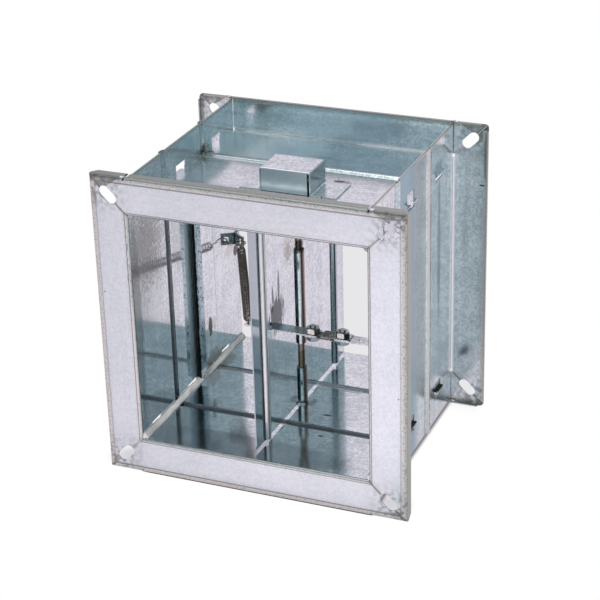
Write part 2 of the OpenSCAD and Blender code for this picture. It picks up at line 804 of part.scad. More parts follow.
module extension_spring() {
    color([0.30, 0.26, 0.23]) stand() translate([lug_eye[0], lug_eye[1], hook_level])
        rotate([0, 0, atan2(spring_line[1], spring_line[0])]) swept_wire(spring_path, wire_r);
}

left_panel();
right_panel();
top_panel();
bottom_panel();
corner_sealant();
left_stop();
right_stop();
top_axle_cover();
bottom_axle_cover();
upper_bush();
lower_bush();
spring_lug();
wall_strap();
wall_link_plate();
link_solder();
wall_screw();
wall_nut();
extension_spring();
blade();
axle_rod();
blade_strap();
blade_link_plate();
blade_screw();
blade_nut();
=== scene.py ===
"""Looks of a spring-closed duct damper with a fusible link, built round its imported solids.

Every length in this file is in metres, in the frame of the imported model: X to the right of the open
duct, Y from its front flange to its rear one, Z up from the surface that it stands on.
"""
import json
import math

import bpy
import numpy as np
from bpy.props import FloatProperty, FloatVectorProperty, IntProperty, PointerProperty
from bpy.types import Operator, Panel, PropertyGroup
from mathutils import Matrix, Vector


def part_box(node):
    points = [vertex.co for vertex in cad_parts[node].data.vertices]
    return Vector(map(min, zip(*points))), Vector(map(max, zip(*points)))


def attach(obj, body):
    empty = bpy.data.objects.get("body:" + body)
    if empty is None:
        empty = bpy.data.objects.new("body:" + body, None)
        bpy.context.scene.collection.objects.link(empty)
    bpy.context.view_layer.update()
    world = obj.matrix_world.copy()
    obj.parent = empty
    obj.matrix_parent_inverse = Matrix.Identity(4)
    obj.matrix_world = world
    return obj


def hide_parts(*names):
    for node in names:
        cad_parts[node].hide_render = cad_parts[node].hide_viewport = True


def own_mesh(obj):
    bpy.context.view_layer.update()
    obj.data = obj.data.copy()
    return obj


bl_info = {
    "name": "Fusible link damper looks",
    "version": (1, 0, 0),
    "blender": (4, 5, 0),
    "location": "3D View > Sidebar > Damper",
    "description": "Finishes, spring, sealant, solder and stage of a galvanised duct damper",
    "category": "Object",
}

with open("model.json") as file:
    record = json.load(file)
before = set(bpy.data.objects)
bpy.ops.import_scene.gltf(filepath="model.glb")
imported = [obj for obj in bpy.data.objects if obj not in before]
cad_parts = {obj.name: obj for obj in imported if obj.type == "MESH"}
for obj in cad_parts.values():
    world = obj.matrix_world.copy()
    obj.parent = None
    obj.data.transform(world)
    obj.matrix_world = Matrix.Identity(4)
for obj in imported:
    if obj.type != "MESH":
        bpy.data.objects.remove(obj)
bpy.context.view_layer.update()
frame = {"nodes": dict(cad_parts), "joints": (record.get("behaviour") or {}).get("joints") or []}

CASING = "casing"
SWINGING = "swinging_blade"
FRONT_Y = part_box("left_panel")[0].y
REAR_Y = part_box("left_panel")[1].y
MID_Z = frame["joints"][0]["pos_m"][2]
FLANGE_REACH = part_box("right_panel")[1].x
DUCT_HALF = 0.100
FRONT_RIB_Y = -0.0365
REAR_RIB_Y = 0.0375
WINDOWS_Y = (-0.0755, -0.0055, 0.0645)
BEADS_Y = (-0.0715, 0.0755)
AXLE_Y = 0.0025
FINE_GRAIN = (220, 220, 220)
UPRIGHT_GRAIN = (500, 900, 70)
ROLLED_GRAIN = (30, 120, 120)
ALONG_X = (0.04, 1.0, 1.0)
ALONG_Z = (1.0, 1.0, 0.04)


class DamperZincLook(PropertyGroup):
    """Colours and grain of the galvanised sheet, its dirt and its joints, some of which also serve for
    painted light.
    """

    zinc: FloatVectorProperty(
        name="Zinc", description="Reflected colour of clean zinc", subtype="COLOR", size=3,
        min=0, max=1, default=(0.73, 0.825, 0.84))
    dull_zinc: FloatVectorProperty(
        name="Dull zinc", description="Reflected colour of the duller crystals and streaks",
        subtype="COLOR", size=3, min=0, max=1, default=(0.50, 0.585, 0.61))
    # This colour also serves for the painted highlights on either side of the rear rib's crest outside the
    # duct.
    worn: FloatVectorProperty(
        name="Worn fold", description="Colour of the folds that have been bent and handled",
        subtype="COLOR", size=3, min=0, max=1, default=(0.64, 0.655, 0.60))
    # This colour also serves for the painted shade on the darker three-cornered ends of the top bars.
    grime: FloatVectorProperty(
        name="Grime", description="Colour of the dirt that sits beside folds and in corners",
        subtype="COLOR", size=3, min=0, max=1, default=(0.165, 0.175, 0.155))
    rust: FloatVectorProperty(
        name="Rust", description="Colour of the brown film on heated and scratched zinc",
        subtype="COLOR", size=3, min=0, max=1, default=(0.24, 0.215, 0.155))
    # This colour also serves for painted shade: the front rib's groove inside the duct, the lines beside the
    # blade's front bead, the tabs in the right wall's windows, the fold at an axle cover's right end and the
    # edge of a top bar's end.
    burn: FloatVectorProperty(
        name="Weld burn", description="Colour of the sheet where a weld has burnt its zinc",
        subtype="COLOR", size=3, min=0, max=1, default=(0.05, 0.042, 0.036))
    sealant: FloatVectorProperty(
        name="Sealant", description="Colour of the dried sealant in the duct's corners",
        subtype="COLOR", size=3, min=0, max=1, default=(0.86, 0.85, 0.82))
    roughness: FloatProperty(
        name="Roughness", description="Roughness of the zinc on outer faces", subtype="FACTOR",
        min=0.02, max=1, default=0.15)
    inner_roughness: FloatProperty(
        name="Inner roughness", description="Roughness of the zinc inside the duct", subtype="FACTOR",
        min=0.02, max=1, default=0.065)
    floor_roughness: FloatProperty(
        name="Floor roughness", description="Roughness of the zinc on the duct's trodden floor",
        subtype="FACTOR", min=0.02, max=1, default=0.125)
    spangle: FloatProperty(
        name="Spangle", description="Mean width of a zinc crystal", subtype="DISTANCE",
        unit="LENGTH", min=0.001, max=0.03, default=0.004)


class DamperSpringShape(PropertyGroup):
    """Sizes of the closing spring, which is hooked between the wall's lug and the blade's strap."""

    lug_eye: FloatVectorProperty(
        name="Lug eye", description="Middle of the hole in the wall's lug", subtype="XYZ",
        unit="LENGTH", size=3, default=(-0.09307, 0.09036, 0.1326))
    tongue_eye: FloatVectorProperty(
        name="Tongue eye", description="Middle of the hole in the blade strap's tongue", subtype="XYZ",
        unit="LENGTH", size=3, default=(-0.01764, -0.06270, 0.1326))
    wire: FloatProperty(
        name="Wire", description="Diameter of the spring wire", subtype="DISTANCE",
        unit="LENGTH", min=0.0003, max=0.003, default=0.0011)
    coil_radius: FloatProperty(
        name="Coil radius", description="Radius of the coils at the middle of the wire",
        subtype="DISTANCE", unit="LENGTH", min=0.001, max=0.01, default=0.00345)
    coils: IntProperty(
        name="Coils", description="Number of coils between the hooks", min=5, max=120, default=48)
    first_coil: FloatProperty(
        name="First coil", description="Distance from the lug's eye to the first coil",
        subtype="DISTANCE", unit="LENGTH", default=0.018)
    last_gap: FloatProperty(
        name="Last gap", description="Distance from the last coil to the tongue's eye",
        subtype="DISTANCE", unit="LENGTH", default=0.0085)
    wire_colour: FloatVectorProperty(
        name="Wire colour", description="Colour of the oiled wire", subtype="COLOR", size=3,
        min=0, max=1, default=(0.10, 0.085, 0.07))


class DamperSealantShape(PropertyGroup):
    """Sizes of the sealant beads in the duct's corners."""

    leg: FloatProperty(
        name="Leg", description="How far a bead reaches from the corner along either sheet",
        subtype="DISTANCE", unit="LENGTH", min=0.003, max=0.0064, default=0.0040)
    swell: FloatProperty(
        name="Swell", description="How far a bead bulges out between its two rims",
        subtype="DISTANCE", unit="LENGTH", min=0, max=0.0015, default=0.00085)


class DamperLinkShape(PropertyGroup):
    """Sizes of the solder and the screws of the link."""

    rim_out: FloatProperty(
        name="Rim", description="How far the squeezed solder lies outside the lap of the plates",
        subtype="DISTANCE", unit="LENGTH", min=0, max=0.002, default=0.0006)
    rim_thick: FloatProperty(
        name="Rim thickness", description="Mean radius of the squeezed solder",
        subtype="DISTANCE", unit="LENGTH", min=0.0002, max=0.002, default=0.0009)
    shank_radius: FloatProperty(
        name="Shank", description="Radius of the screws over their threads",
        subtype="DISTANCE", unit="LENGTH", default=0.003)
    pitch: FloatProperty(
        name="Pitch", description="Distance from one thread to the next", subtype="DISTANCE",
        unit="LENGTH", default=0.001)
    thread: FloatProperty(
        name="Thread depth", description="Height of a thread", subtype="DISTANCE", unit="LENGTH",
        default=0.0006)
    head_height: FloatProperty(
        name="Head", description="Height of a screw's head", subtype="DISTANCE", unit="LENGTH",
        default=0.004)
    flats: FloatProperty(
        name="Across flats", description="Width of a screw's head across its flats",
        subtype="DISTANCE", unit="LENGTH", default=0.010)


class DamperWeldShape(PropertyGroup):
    """Size of the welds on the flanges' lips."""

    reach: FloatVectorProperty(
        name="Reach", description="Half size of a weld along the three axes", subtype="XYZ",
        unit="LENGTH", size=3, default=(0.0030, 0.0014, 0.0009))


class DamperStageSettings(PropertyGroup):
    """Camera, floor and light."""

    camera_place: FloatVectorProperty(
        name="Camera", description="Where the camera stands", subtype="XYZ", unit="LENGTH", size=3,
        default=(0.541, -1.2755, 0.780))
    camera_pitch: FloatProperty(
        name="Pitch", description="Angle of the view above the horizon", subtype="ANGLE",
        unit="ROTATION", default=math.radians(-25.17))
    camera_yaw: FloatProperty(
        name="Yaw", description="Angle of the view from +Y towards +X", subtype="ANGLE",
        unit="ROTATION", default=math.radians(-22.93))
    camera_roll: FloatProperty(
        name="Roll", description="Turn of the camera about its own view", subtype="ANGLE",
        unit="ROTATION", default=math.radians(-1.59))
    lens: FloatProperty(
        name="Lens", description="Focal length on a sensor 36 mm wide", subtype="DISTANCE_CAMERA",
        unit="CAMERA", min=20, max=300, default=110.04)
    floor_size: FloatProperty(
        name="Floor", description="Width of the pale floor", subtype="DISTANCE", unit="LENGTH",
        default=14.0)
    studio_tint: FloatVectorProperty(
        name="Studio light", description="Colour of the light that the zinc reflects",
        subtype="COLOR", size=3, min=0, max=2, default=(0.94, 0.82, 0.90))
    wall_tint: FloatVectorProperty(
        name="Studio walls", description="Colour of the dim walls of the studio",
        subtype="COLOR", size=3, min=0, max=2, default=(0.46, 0.49, 0.54))
    ceiling_tint: FloatVectorProperty(
        name="Studio ceiling", description="Colour of the dark upper part of the studio",
        subtype="COLOR", size=3, min=0, max=2, default=(0.22, 0.24, 0.27))
    right_tint: FloatVectorProperty(
        name="Right light", description="Colour of the light beside the right wall",
        subtype="COLOR", size=3, min=0, max=2, default=(0.86, 0.82, 0.88))
    front_tint: FloatVectorProperty(
        name="Front wall", description="Colour of the studio wall behind the camera",
        subtype="COLOR", size=3, min=0, max=2, default=(0.56, 0.60, 0.66))
    softbox_place: FloatVectorProperty(
        name="Softbox", description="Where the softbox hangs", subtype="XYZ", unit="LENGTH", size=3,
        default=(-0.2, 0.1, 2.4))
    softbox_size: FloatProperty(
        name="Softbox size", description="Width of the softbox", subtype="DISTANCE", unit="LENGTH",
        default=1.7)
    fill_power: FloatProperty(
        name="Fill", description="Power of the fill in front, in watts", min=0, max=100, default=26.0)
    softbox_brightness: FloatProperty(
        name="Softbox brightness", description="Brightness of the softbox's face", min=0, max=10,
        default=1.4)


class Wiring:
    """Adds nodes to one node tree. A socket or a plain value can stand for any input."""

    def __init__(self, tree):
        self.tree = tree
        tree.nodes.clear()

    def node(self, kind, inputs=None, **settings):
        new = self.tree.nodes.new(kind)
        for name, value in settings.items():
            setattr(new, name, value)
        for name, value in (inputs or {}).items():
            self.feed(new.inputs[name], value)
        return new

    def feed(self, socket, value):
        if isinstance(value, bpy.types.NodeSocket):
            self.tree.links.new(value, socket)
        elif socket.type == "RGBA" and len(value) == 3:
            socket.default_value = (*value, 1.0)
        else:
            socket.default_value = value

    def math(self, operation, first, second=0.0, clamp=False):
        new = self.node("ShaderNodeMath", {0: first, 1: second}, operation=operation, use_clamp=clamp)
        return new.outputs[0]

    def vector(self, operation, first, second=(0, 0, 0)):
        new = self.node("ShaderNodeVectorMath", {0: first, 1: second}, operation=operation)
        return new.outputs["Value" if operation in ("LENGTH", "DOT_PRODUCT") else "Vector"]

    def blend(self, share, first, second, how="MIX"):
        """Mix of two colours."""
        new = self.node("ShaderNodeMix", data_type="RGBA", blend_type=how)
        self.feed(new.inputs[0], share)
        self.feed(new.inputs[6], first)
        self.feed(new.inputs[7], second)
        return new.outputs[2]

    def between(self, share, first, second):
        """Mix of two numbers."""
        new = self.node("ShaderNodeMix", {0: share, 2: first, 3: second}, data_type="FLOAT")
        return new.outputs[0]

    def ramp(self, value, low, high, from_value=0.0, to_value=1.0):
        """Smooth step from one value to another while the input goes from low to high."""
        new = self.node("ShaderNodeMapRange",
                        {0: value, 1: low, 2: high, 3: from_value, 4: to_value},
                        interpolation_type="SMOOTHSTEP")
        return new.outputs[0]

    def noise(self, vector, scale, detail=2.0, distortion=0.0):
        new = self.node("ShaderNodeTexNoise",
                        {"Vector": vector, "Scale": scale, "Detail": detail,
                         "Distortion": distortion})
        return new.outputs["Fac"]

    def stretched(self, vector, scale):
        """The same place in a space that is stretched along its axes."""
        new = self.node("ShaderNodeMapping", {"Vector": vector, "Scale": scale})
        return new.outputs[0]

    def group(self, tree, **inputs):
        new = self.node("ShaderNodeGroup", node_tree=tree)
        for name, value in inputs.items():
            self.feed(new.inputs[name.replace("_", " ").capitalize()], value)
        return new.outputs


def group_tree(name, inputs, outputs):
    """An empty node group with the named input and output sockets, and its wiring."""
    tree = bpy.data.node_groups.new(name, "ShaderNodeTree")
    for direction, sockets in (("INPUT", inputs), ("OUTPUT", outputs)):
        for label, kind in sockets:
            tree.interface.new_socket(label, in_out=direction, socket_type="NodeSocket" + kind)
    wiring = Wiring(tree)
    entry = wiring.node("NodeGroupInput").outputs
    leave = wiring.node("NodeGroupOutput").inputs
    return tree, wiring, entry, leave


def zinc_spangle():
    """Patchy brightness of zinc crystals: one grey for each cell of a bent Voronoi pattern, and fine
    grain."""
    tree, w, entry, leave = group_tree(
        "zinc_spangle", [("Vector", "Vector"), ("Crystals", "Float")],
        [("Tone", "Float"), ("Height", "Float")])
    bent = w.node("ShaderNodeTexNoise", {"Vector": entry["Vector"], "Scale": 160.0})
    place = w.vector("ADD", entry["Vector"], w.vector("MULTIPLY", bent.outputs["Color"], (0.004,) * 3))
    cells = w.node("ShaderNodeTexVoronoi", {"Vector": place, "Scale": entry["Crystals"]})
    grey = w.node("ShaderNodeSeparateColor", {0: cells.outputs["Color"]}).outputs[0]
    fine = w.noise(entry["Vector"], 480.0, 4.0)
    cloud = w.noise(entry["Vector"], 28.0, 2.0)
    tone = w.between(0.6, grey, w.ramp(fine, 0.36, 0.64))
    w.feed(leave["Tone"], w.between(0.25, tone, w.ramp(cloud, 0.3, 0.7)))
    w.feed(leave["Height"], fine)
    return tree


def rolling_streaks():
    """Long marks of the rolling mill: noise in a space squeezed along the rolling direction."""
    tree, w, entry, leave = group_tree(
        "rolling_streaks", [("Vector", "Vector"), ("Squeeze", "Vector")], [("Tone", "Float")])
    place = w.vector("MULTIPLY", entry["Vector"], entry["Squeeze"])
    broad = w.noise(place, 90.0, 2.0)
    narrow = w.noise(place, 700.0, 3.0)
    w.feed(leave["Tone"], w.between(0.5, w.ramp(broad, 0.3, 0.7), w.ramp(narrow, 0.3, 0.7)))
    return tree


def pin_specks():
    """Small dark pits, few and far between: the cores of those Voronoi cells that drew a high number."""
    tree, w, entry, leave = group_tree(
        "pin_specks", [("Vector", "Vector"), ("Share", "Float")], [("Mask", "Float")])
    cells = w.node("ShaderNodeTexVoronoi", {"Vector": entry["Vector"], "Scale": 120.0})
    drawn = w.node("ShaderNodeSeparateColor", {0: cells.outputs["Color"]}).outputs[0]
    chosen = w.math("LESS_THAN", drawn, entry["Share"])
    core = w.ramp(cells.outputs["Distance"], 0.05, 0.1, 1.0, 0.0)
    w.feed(leave["Mask"], w.math("MULTIPLY", chosen, core))
    return tree


def ragged_patch():
    """A patch with a torn rim, for marks and painted light alike: one inside an ellipsoid whose surface noise
    pushes in and out.
    """
    tree, w, entry, leave = group_tree(
        "ragged_patch",
        [("Vector", "Vector"), ("Centre", "Vector"), ("Reach", "Vector"), ("Grain", "Vector"),
         ("Ragged", "Float")],
        [("Mask", "Float")])
    offset = w.vector("SUBTRACT", entry["Vector"], entry["Centre"])
    distance = w.vector("LENGTH", w.vector("DIVIDE", offset, entry["Reach"]))
    torn = w.noise(w.vector("MULTIPLY", entry["Vector"], entry["Grain"]), 1.0, 4.0)
    pushed = w.math("ADD", distance, w.math("MULTIPLY", w.math("SUBTRACT", torn, 0.5), entry["Ragged"]))
    w.feed(leave["Mask"], w.ramp(pushed, 0.75, 1.0, 1.0, 0.0))
    return tree


def thin_line():
    """A line where a value comes near a middle value, half as strong at its width from there."""
    tree, w, entry, leave = group_tree(
        "thin_line", [("Value", "Float"), ("Middle", "Float"), ("Width", "Float")], [("Mask", "Float")])
    off = w.math("ABSOLUTE", w.math("SUBTRACT", entry["Value"], entry["Middle"]))
    w.feed(leave["Mask"], w.ramp(w.math("DIVIDE", off, entry["Width"]), 0.5, 1.5, 1.0, 0.0))
    return tree


def worn_edges():
    """Sharp edges: how far the normal turns when the edges are rounded by the given width."""
    tree, w, entry, leave = group_tree("worn_edges", [("Width", "Float")], [("Mask", "Float")])
    rounded = w.node("ShaderNodeBevel", {"Radius": entry["Width"]}, samples=4).outputs[0]
    flat = w.node("ShaderNodeNewGeometry").outputs["Normal"]
    w.feed(leave["Mask"], w.ramp(w.vector("DOT_PRODUCT", rounded, flat), 0.80, 0.99, 1.0, 0.0))
    return tree


def flange_frame():
    """Where a point lies on the square frame of a flange, from the larger and smaller of its distances
    |x| and |z| from the duct's middle line: how far in from the outer edge, out from the duct's mouth
    and off the mitre seam, how near a corner, whether it is on a flange's outer face, whether its bar
    of the frame is level, and whether the flange is the front one."""
    tree, w, entry, leave = group_tree(
        "flange_frame", [("Vector", "Vector")],
        [("From outer", "Float"), ("From mouth", "Float"), ("Seam", "Float"), ("Smaller", "Float"),
         ("Corner", "Float"), ("Face", "Float"), ("Level", "Float"), ("Front", "Float")])
    axes = w.node("ShaderNodeSeparateXYZ", {0: entry["Vector"]}).outputs
    across = w.math("ABSOLUTE", axes["X"])
    upward = w.math("ABSOLUTE", w.math("SUBTRACT", axes["Z"], MID_Z))
    larger = w.math("MAXIMUM", across, upward)
    smaller = w.math("MINIMUM", across, upward)
    w.feed(leave["From outer"], w.math("SUBTRACT", FLANGE_REACH, larger))
    w.feed(leave["From mouth"], w.math("SUBTRACT", larger, DUCT_HALF))
    w.feed(leave["Seam"], w.math("SUBTRACT", larger, smaller))
    w.feed(leave["Smaller"], smaller)
    w.feed(leave["Corner"], w.ramp(smaller, 0.092, 0.124))
    w.feed(leave["Face"], w.ramp(w.math("ABSOLUTE", axes["Y"]), REAR_Y - 0.0024, REAR_Y - 0.0014))
    w.feed(leave["Level"], w.math("GREATER_THAN", upward, across))
    w.feed(leave["Front"], w.math("LESS_THAN", axes["Y"], 0.0))
    return tree


def duct_inside():
    """One on faces that look towards the duct's middle line, between its walls, and how deep such a
    point lies in the groove of a rib."""
    tree, w, entry, leave = group_tree(
        "duct_inside", [("Vector", "Vector"), ("Facing", "Vector")],
        [("Mask", "Float"), ("Groove", "Float")])
    outward = w.vector("MULTIPLY", w.vector("SUBTRACT", entry["Vector"], (0, 0, MID_Z)), (1, 0, 1))
    looks_in = w.math("LESS_THAN", w.vector("DOT_PRODUCT", outward, entry["Facing"]), 0.0)
    axes = w.node("ShaderNodeSeparateXYZ", {0: w.vector("ABSOLUTE", outward)}).outputs
    larger = w.math("MAXIMUM", axes["X"], axes["Z"])
    between_walls = w.math("LESS_THAN", larger, DUCT_HALF + 0.0027)
    w.feed(leave["Mask"], w.math("MULTIPLY", looks_in, between_walls))
    groove = w.ramp(larger, DUCT_HALF + 0.0002, DUCT_HALF + 0.0012)
    w.feed(leave["Groove"], w.math("MULTIPLY", w.math("MULTIPLY", looks_in, between_walls), groove))
    return tree


def shared(maker):
    """The node group that a maker makes, made once."""
    return bpy.data.node_groups.get(maker.__name__) or maker()


def new_material(name):
    """A material with a Principled BSDF, its wiring and its Object coordinates."""
    material = bpy.data.materials.new(name)
    material.use_nodes = True
    w = Wiring(material.node_tree)
    shader = w.node("ShaderNodeBsdfPrincipled")
    w.node("ShaderNodeOutputMaterial", {"Surface": shader.outputs[0]})
    place = w.node("ShaderNodeTexCoord").outputs["Object"]
    return material, w, shader, place


class Patch:
    """A patch on a finish, for marks and painted light alike: its middle and reach in metres, its colour and
    what it does to the gloss.
    """

    def __init__(self, centre, reach, colour, strength=0.8, roughness=0.45, ragged=1.0, grain=FINE_GRAIN):
        self.centre = centre
        self.reach = reach
        self.colour = colour
        self.strength = strength
        self.roughness = roughness
        self.ragged = ragged
        self.grain = grain


class Coat:
    """The colour and roughness of a finish while its dirt and painted light are laid on."""

    def __init__(self, w, place, colour, roughness):
        self.w = w
        self.place = place
        self.colour = colour
        self.roughness = roughness

    def lay(self, share, colour, roughness=0.45):
        """Covers a share of the surface with another colour and roughness."""
        self.colour = self.w.blend(share, self.colour, colour)
        self.roughness = self.w.between(share, self.roughness, roughness)

    def line(self, value, middle, width):
        return self.w.group(shared(thin_line), value=value, middle=middle, width=width)["Mask"]

    def product(self, *values):
        result = values[0]
        for value in values[1:]:
            result = self.w.math("MULTIPLY", result, value)
        return result

    def stain(self, patch):
        mask = self.w.group(shared(ragged_patch), vector=self.place, centre=patch.centre,
                            reach=patch.reach, grain=patch.grain, ragged=patch.ragged)["Mask"]
        self.lay(self.product(mask, patch.strength), patch.colour, patch.roughness)


def bump(w, shader, height, strength, depth):
    normal = w.node("ShaderNodeBump", {"Height": height, "Strength": strength, "Distance": depth})
    w.feed(shader.inputs["Normal"], normal.outputs[0])


def zinc_finish(name, look, rolled=ALONG_Z, patches=(), panel=False, roughness=None, edges=0.0003,
                extra=None, inner=None):
    """Galvanised sheet: crystals, rolling streaks, specks, rubbed edges, and the patches and extra marks that
    it is given, some of them painted light. A panel also has a shinier inside, painted shade in the front
    rib's groove and a painted highlight in the rear rib's groove inside the duct, and rubbed flanges."""
    material, w, shader, place = new_material(name)
    spangle = w.group(shared(zinc_spangle), vector=place, crystals=1.0 / look.spangle)
    streaks = w.group(shared(rolling_streaks), vector=place, squeeze=rolled)["Tone"]
    tone = w.between(0.25, spangle["Tone"], streaks)
    along = w.node("ShaderNodeSeparateXYZ", {0: place}).outputs["Y"]
    if panel:
        face = w.group(shared(flange_frame), vector=place)["Face"]
        calm = w.math("MULTIPLY", face, w.ramp(along, 0.0, -0.01, 0.0, 0.72))
        tone = w.between(calm, tone, 0.62)
    base_roughness = look.roughness if roughness is None else roughness
    grain = 1.0
    if panel:
        facing = w.node("ShaderNodeTexCoord").outputs["Normal"]
        inside = w.group(shared(duct_inside), vector=place, facing=facing)
        base_roughness = w.between(inside["Mask"], base_roughness, inner or look.inner_roughness)
        grain = w.between(inside["Mask"], 1.0, 0.3)
    colour = w.blend(w.ramp(tone, 0.2, 0.8), look.dull_zinc, look.zinc)
    rough = w.math("ADD", base_roughness, w.between(tone, 0.05, -0.03))
    coat = Coat(w, place, colour, rough)
    if panel:
        rub_flange(coat, look)
        # Painted shade: a dark line in the front rib's groove inside the duct. Painted highlight: a
        # near-white line in the rear rib's groove.
        front_rib = coat.line(along, FRONT_RIB_Y, 0.006)
        coat.lay(coat.product(inside["Groove"], front_rib, 0.62), look.burn, 0.3)
        rear_rib = coat.line(along, REAR_RIB_Y, 0.006)
        coat.lay(coat.product(inside["Groove"], rear_rib, 0.9), (0.95, 0.99, 0.99), 0.6)
    specks = w.group(shared(pin_specks), vector=place, share=0.05)["Mask"]
    coat.lay(coat.product(specks, 0.8), look.burn)
    if extra:
        extra(coat, look)
    for patch in patches:
        coat.stain(patch)
    if edges:
        wear = w.group(shared(worn_edges), width=edges)["Mask"]
        coat.lay(coat.product(wear, 0.6), look.worn, 0.4)
    w.feed(shader.inputs["Base Color"], coat.colour)
    w.feed(shader.inputs["Roughness"], coat.roughness)
    shader.inputs["Metallic"].default_value = 1.0
    marks = w.math("ADD", coat.product(spangle["Height"], 0.03), coat.product(streaks, 0.04))
    wave = w.noise(place, 14.0, 1.0)
    height = w.math("ADD", coat.product(marks, grain), coat.product(wave, 1.5))
    bump(w, shader, height, 1.0, 0.0001)
    return material


def rub_flange(coat, look):
    """Wear of the flanges: pale folds with a dark line on either side, a dark mitre seam and lip joint,
    clouds of dirt that thicken towards the corners, and a painted near-white highlight along the rear
    flange's inner bend."""
    w = coat.w
    around = w.group(shared(flange_frame), vector=coat.place)
    face = around["Face"]
    cloud = w.ramp(w.noise(coat.place, 240.0, 5.0), 0.42, 0.62)
    fine = w.ramp(w.noise(coat.place, 900.0, 3.0), 0.25, 0.7)
    scratched = w.ramp(w.noise(coat.place, 820.0, 4.0), 0.5, 0.66)
    outer = w.ramp(around["From outer"], 0.0036, 0.0050, 1.0, 0.0)
    coat.lay(coat.product(outer, 0.85), look.worn, 0.42)
    coat.lay(coat.product(outer, scratched, 0.25), look.rust, 0.45)
    edge = w.ramp(around["From outer"], 0.0003, 0.0014, 1.0, 0.0)
    coat.lay(coat.product(edge, 0.45), look.grime, 0.45)
    mouth = w.ramp(around["From mouth"], 0.0014, 0.0022, 1.0, 0.0)
    coat.lay(coat.product(mouth, face, 0.9), look.worn, 0.3)
    corner = coat.product(around["Corner"], cloud, face, 0.75)
    coat.lay(corner, look.grime, 0.5)
    rim = w.ramp(around["From outer"], 0.002, 0.010, 1.0, 0.0)
    coat.lay(coat.product(rim, scratched, face, 0.45), look.grime, 0.5)
    inner_rim = w.ramp(around["From mouth"], 0.0015, 0.007, 1.0, 0.0)
    coat.lay(coat.product(inner_rim, scratched, face, 0.3), look.grime, 0.5)
    seam_rim = coat.product(coat.line(around["Seam"], 0.0, 0.0016), face, 0.4)
    coat.lay(seam_rim, look.rust, 0.4)
    coat.lay(coat.product(coat.line(around["Seam"], 0.0, 0.0004), face), look.burn, 0.4)
    torn = w.math("MULTIPLY", w.noise(coat.place, 600.0, 3.0), 0.0003)
    from_rim = w.math("ADD", around["From outer"], torn)
    fold = coat.product(coat.line(from_rim, 0.0053, 0.0006), face, around["Front"])
    coat.lay(coat.product(fold, w.between(around["Level"], 0.4, 0.75)), look.grime, 0.4)
    coat.lay(coat.product(coat.line(from_rim, 0.0016, 0.0003), fine, 0.35), look.grime, 0.4)
    rim_line = coat.product(coat.line(around["From mouth"], 0.0025, 0.0004), face, around["Front"])
    coat.lay(coat.product(rim_line, 0.75), look.grime, 0.4)
    # Painted highlight: a near-white line along the rear flange's inner bend.
    bend = coat.line(around["From mouth"], 0.0020, 0.0011)
    rear_bend_highlight = coat.product(bend, w.math("SUBTRACT", 1.0, around["Front"]), around["Face"])
    coat.lay(rear_bend_highlight, (0.98, 1.0, 1.0), 0.35)
    near_lip = w.ramp(around["From outer"], 0.002, 0.003, 1.0, 0.0)
    joint = coat.product(coat.line(around["Smaller"], 0.1015, 0.0007), near_lip, around["Level"])
    coat.lay(joint, look.burn, 0.4)


def give(node, material):
    """Puts one material on a CAD node, in place of the one that it came with."""
    data = frame["nodes"][node].data
    data.materials.clear()
    data.materials.append(material)


def grid_mesh(name, grid, around=True, capped=False, along_closed=False):
    """A mesh from an array of points, rows by columns. Each row is closed on itself where around is set,
    and the first and last rows are closed by flat faces where capped is set."""
    rows, columns = grid.shape[:2]
    index = np.arange(rows * columns).reshape(rows, columns)
    next_row = np.roll(index, -1, 0) if along_closed else index[1:]
    here = index if along_closed else index[:-1]
    if around:
        quads = np.stack([here, np.roll(here, -1, 1), np.roll(next_row, -1, 1), next_row], -1)
    else:
        quads = np.stack([here[:, :-1], here[:, 1:], next_row[:, 1:], next_row[:, :-1]], -1)
    faces = quads.reshape(-1, 4).tolist()
    if capped:
        faces += [index[0, ::-1].tolist(), index[-1].tolist()]
    mesh = bpy.data.meshes.new(name)
    mesh.from_pydata(grid.reshape(-1, 3).tolist(), [], faces)
    mesh.update()
    return mesh


def joined_mesh(name, grids):
    """One mesh from several grids that are closed around; each comes with whether its ends are capped.
    A grid that is not capped is closed along its length."""
    parts = [grid_mesh(name + "_part", grid, capped=capped, along_closed=not capped)
             for grid, capped in grids]
    points, faces = [], []
    for part in parts:
        start = len(points)
        points += [vertex.co[:] for vertex in part.vertices]
        faces += [[start + index for index in face.vertices] for face in part.polygons]
        bpy.data.meshes.remove(part)
    mesh = bpy.data.meshes.new(name)
    mesh.from_pydata(points, [], faces)
    mesh.update()
    return mesh


def add_piece(mesh, material, body, smooth=True, replaced=()):
    """Links a mesh as a piece of the damper that rides on one of its bodies."""
    mesh.materials.append(material)
    mesh.shade_smooth() if smooth else mesh.shade_flat()
    piece = bpy.data.objects.new(mesh.name, mesh)
    bpy.context.scene.collection.objects.link(piece)
    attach(piece, body)
    if replaced:
        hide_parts(*replaced)
    return piece


def unit(vectors):
    return vectors / np.linalg.norm(vectors, axis=-1, keepdims=True)


def even_path(points, step, rounding):
    """The path through a list of points at an even step, rounded by a running mean of the given length."""
    lengths = np.linalg.norm(np.diff(points, axis=0), axis=1)
    along = np.concatenate([[0.0], np.cumsum(lengths)])
    count = int(along[-1] / step) + 1
    even = np.linspace(0.0, along[-1], count)
    path = np.stack([np.interp(even, along, points[:, axis]) for axis in range(points.shape[1])], 1)
    width = max(1, int(rounding / step) // 2)
    weights = np.ones(2 * width + 1) / (2 * width + 1)
    padded = np.pad(path, ((width, width), (0, 0)), mode="edge")
    return np.stack([np.convolve(padded[:, axis], weights, "valid") for axis in range(points.shape[1])], 1)


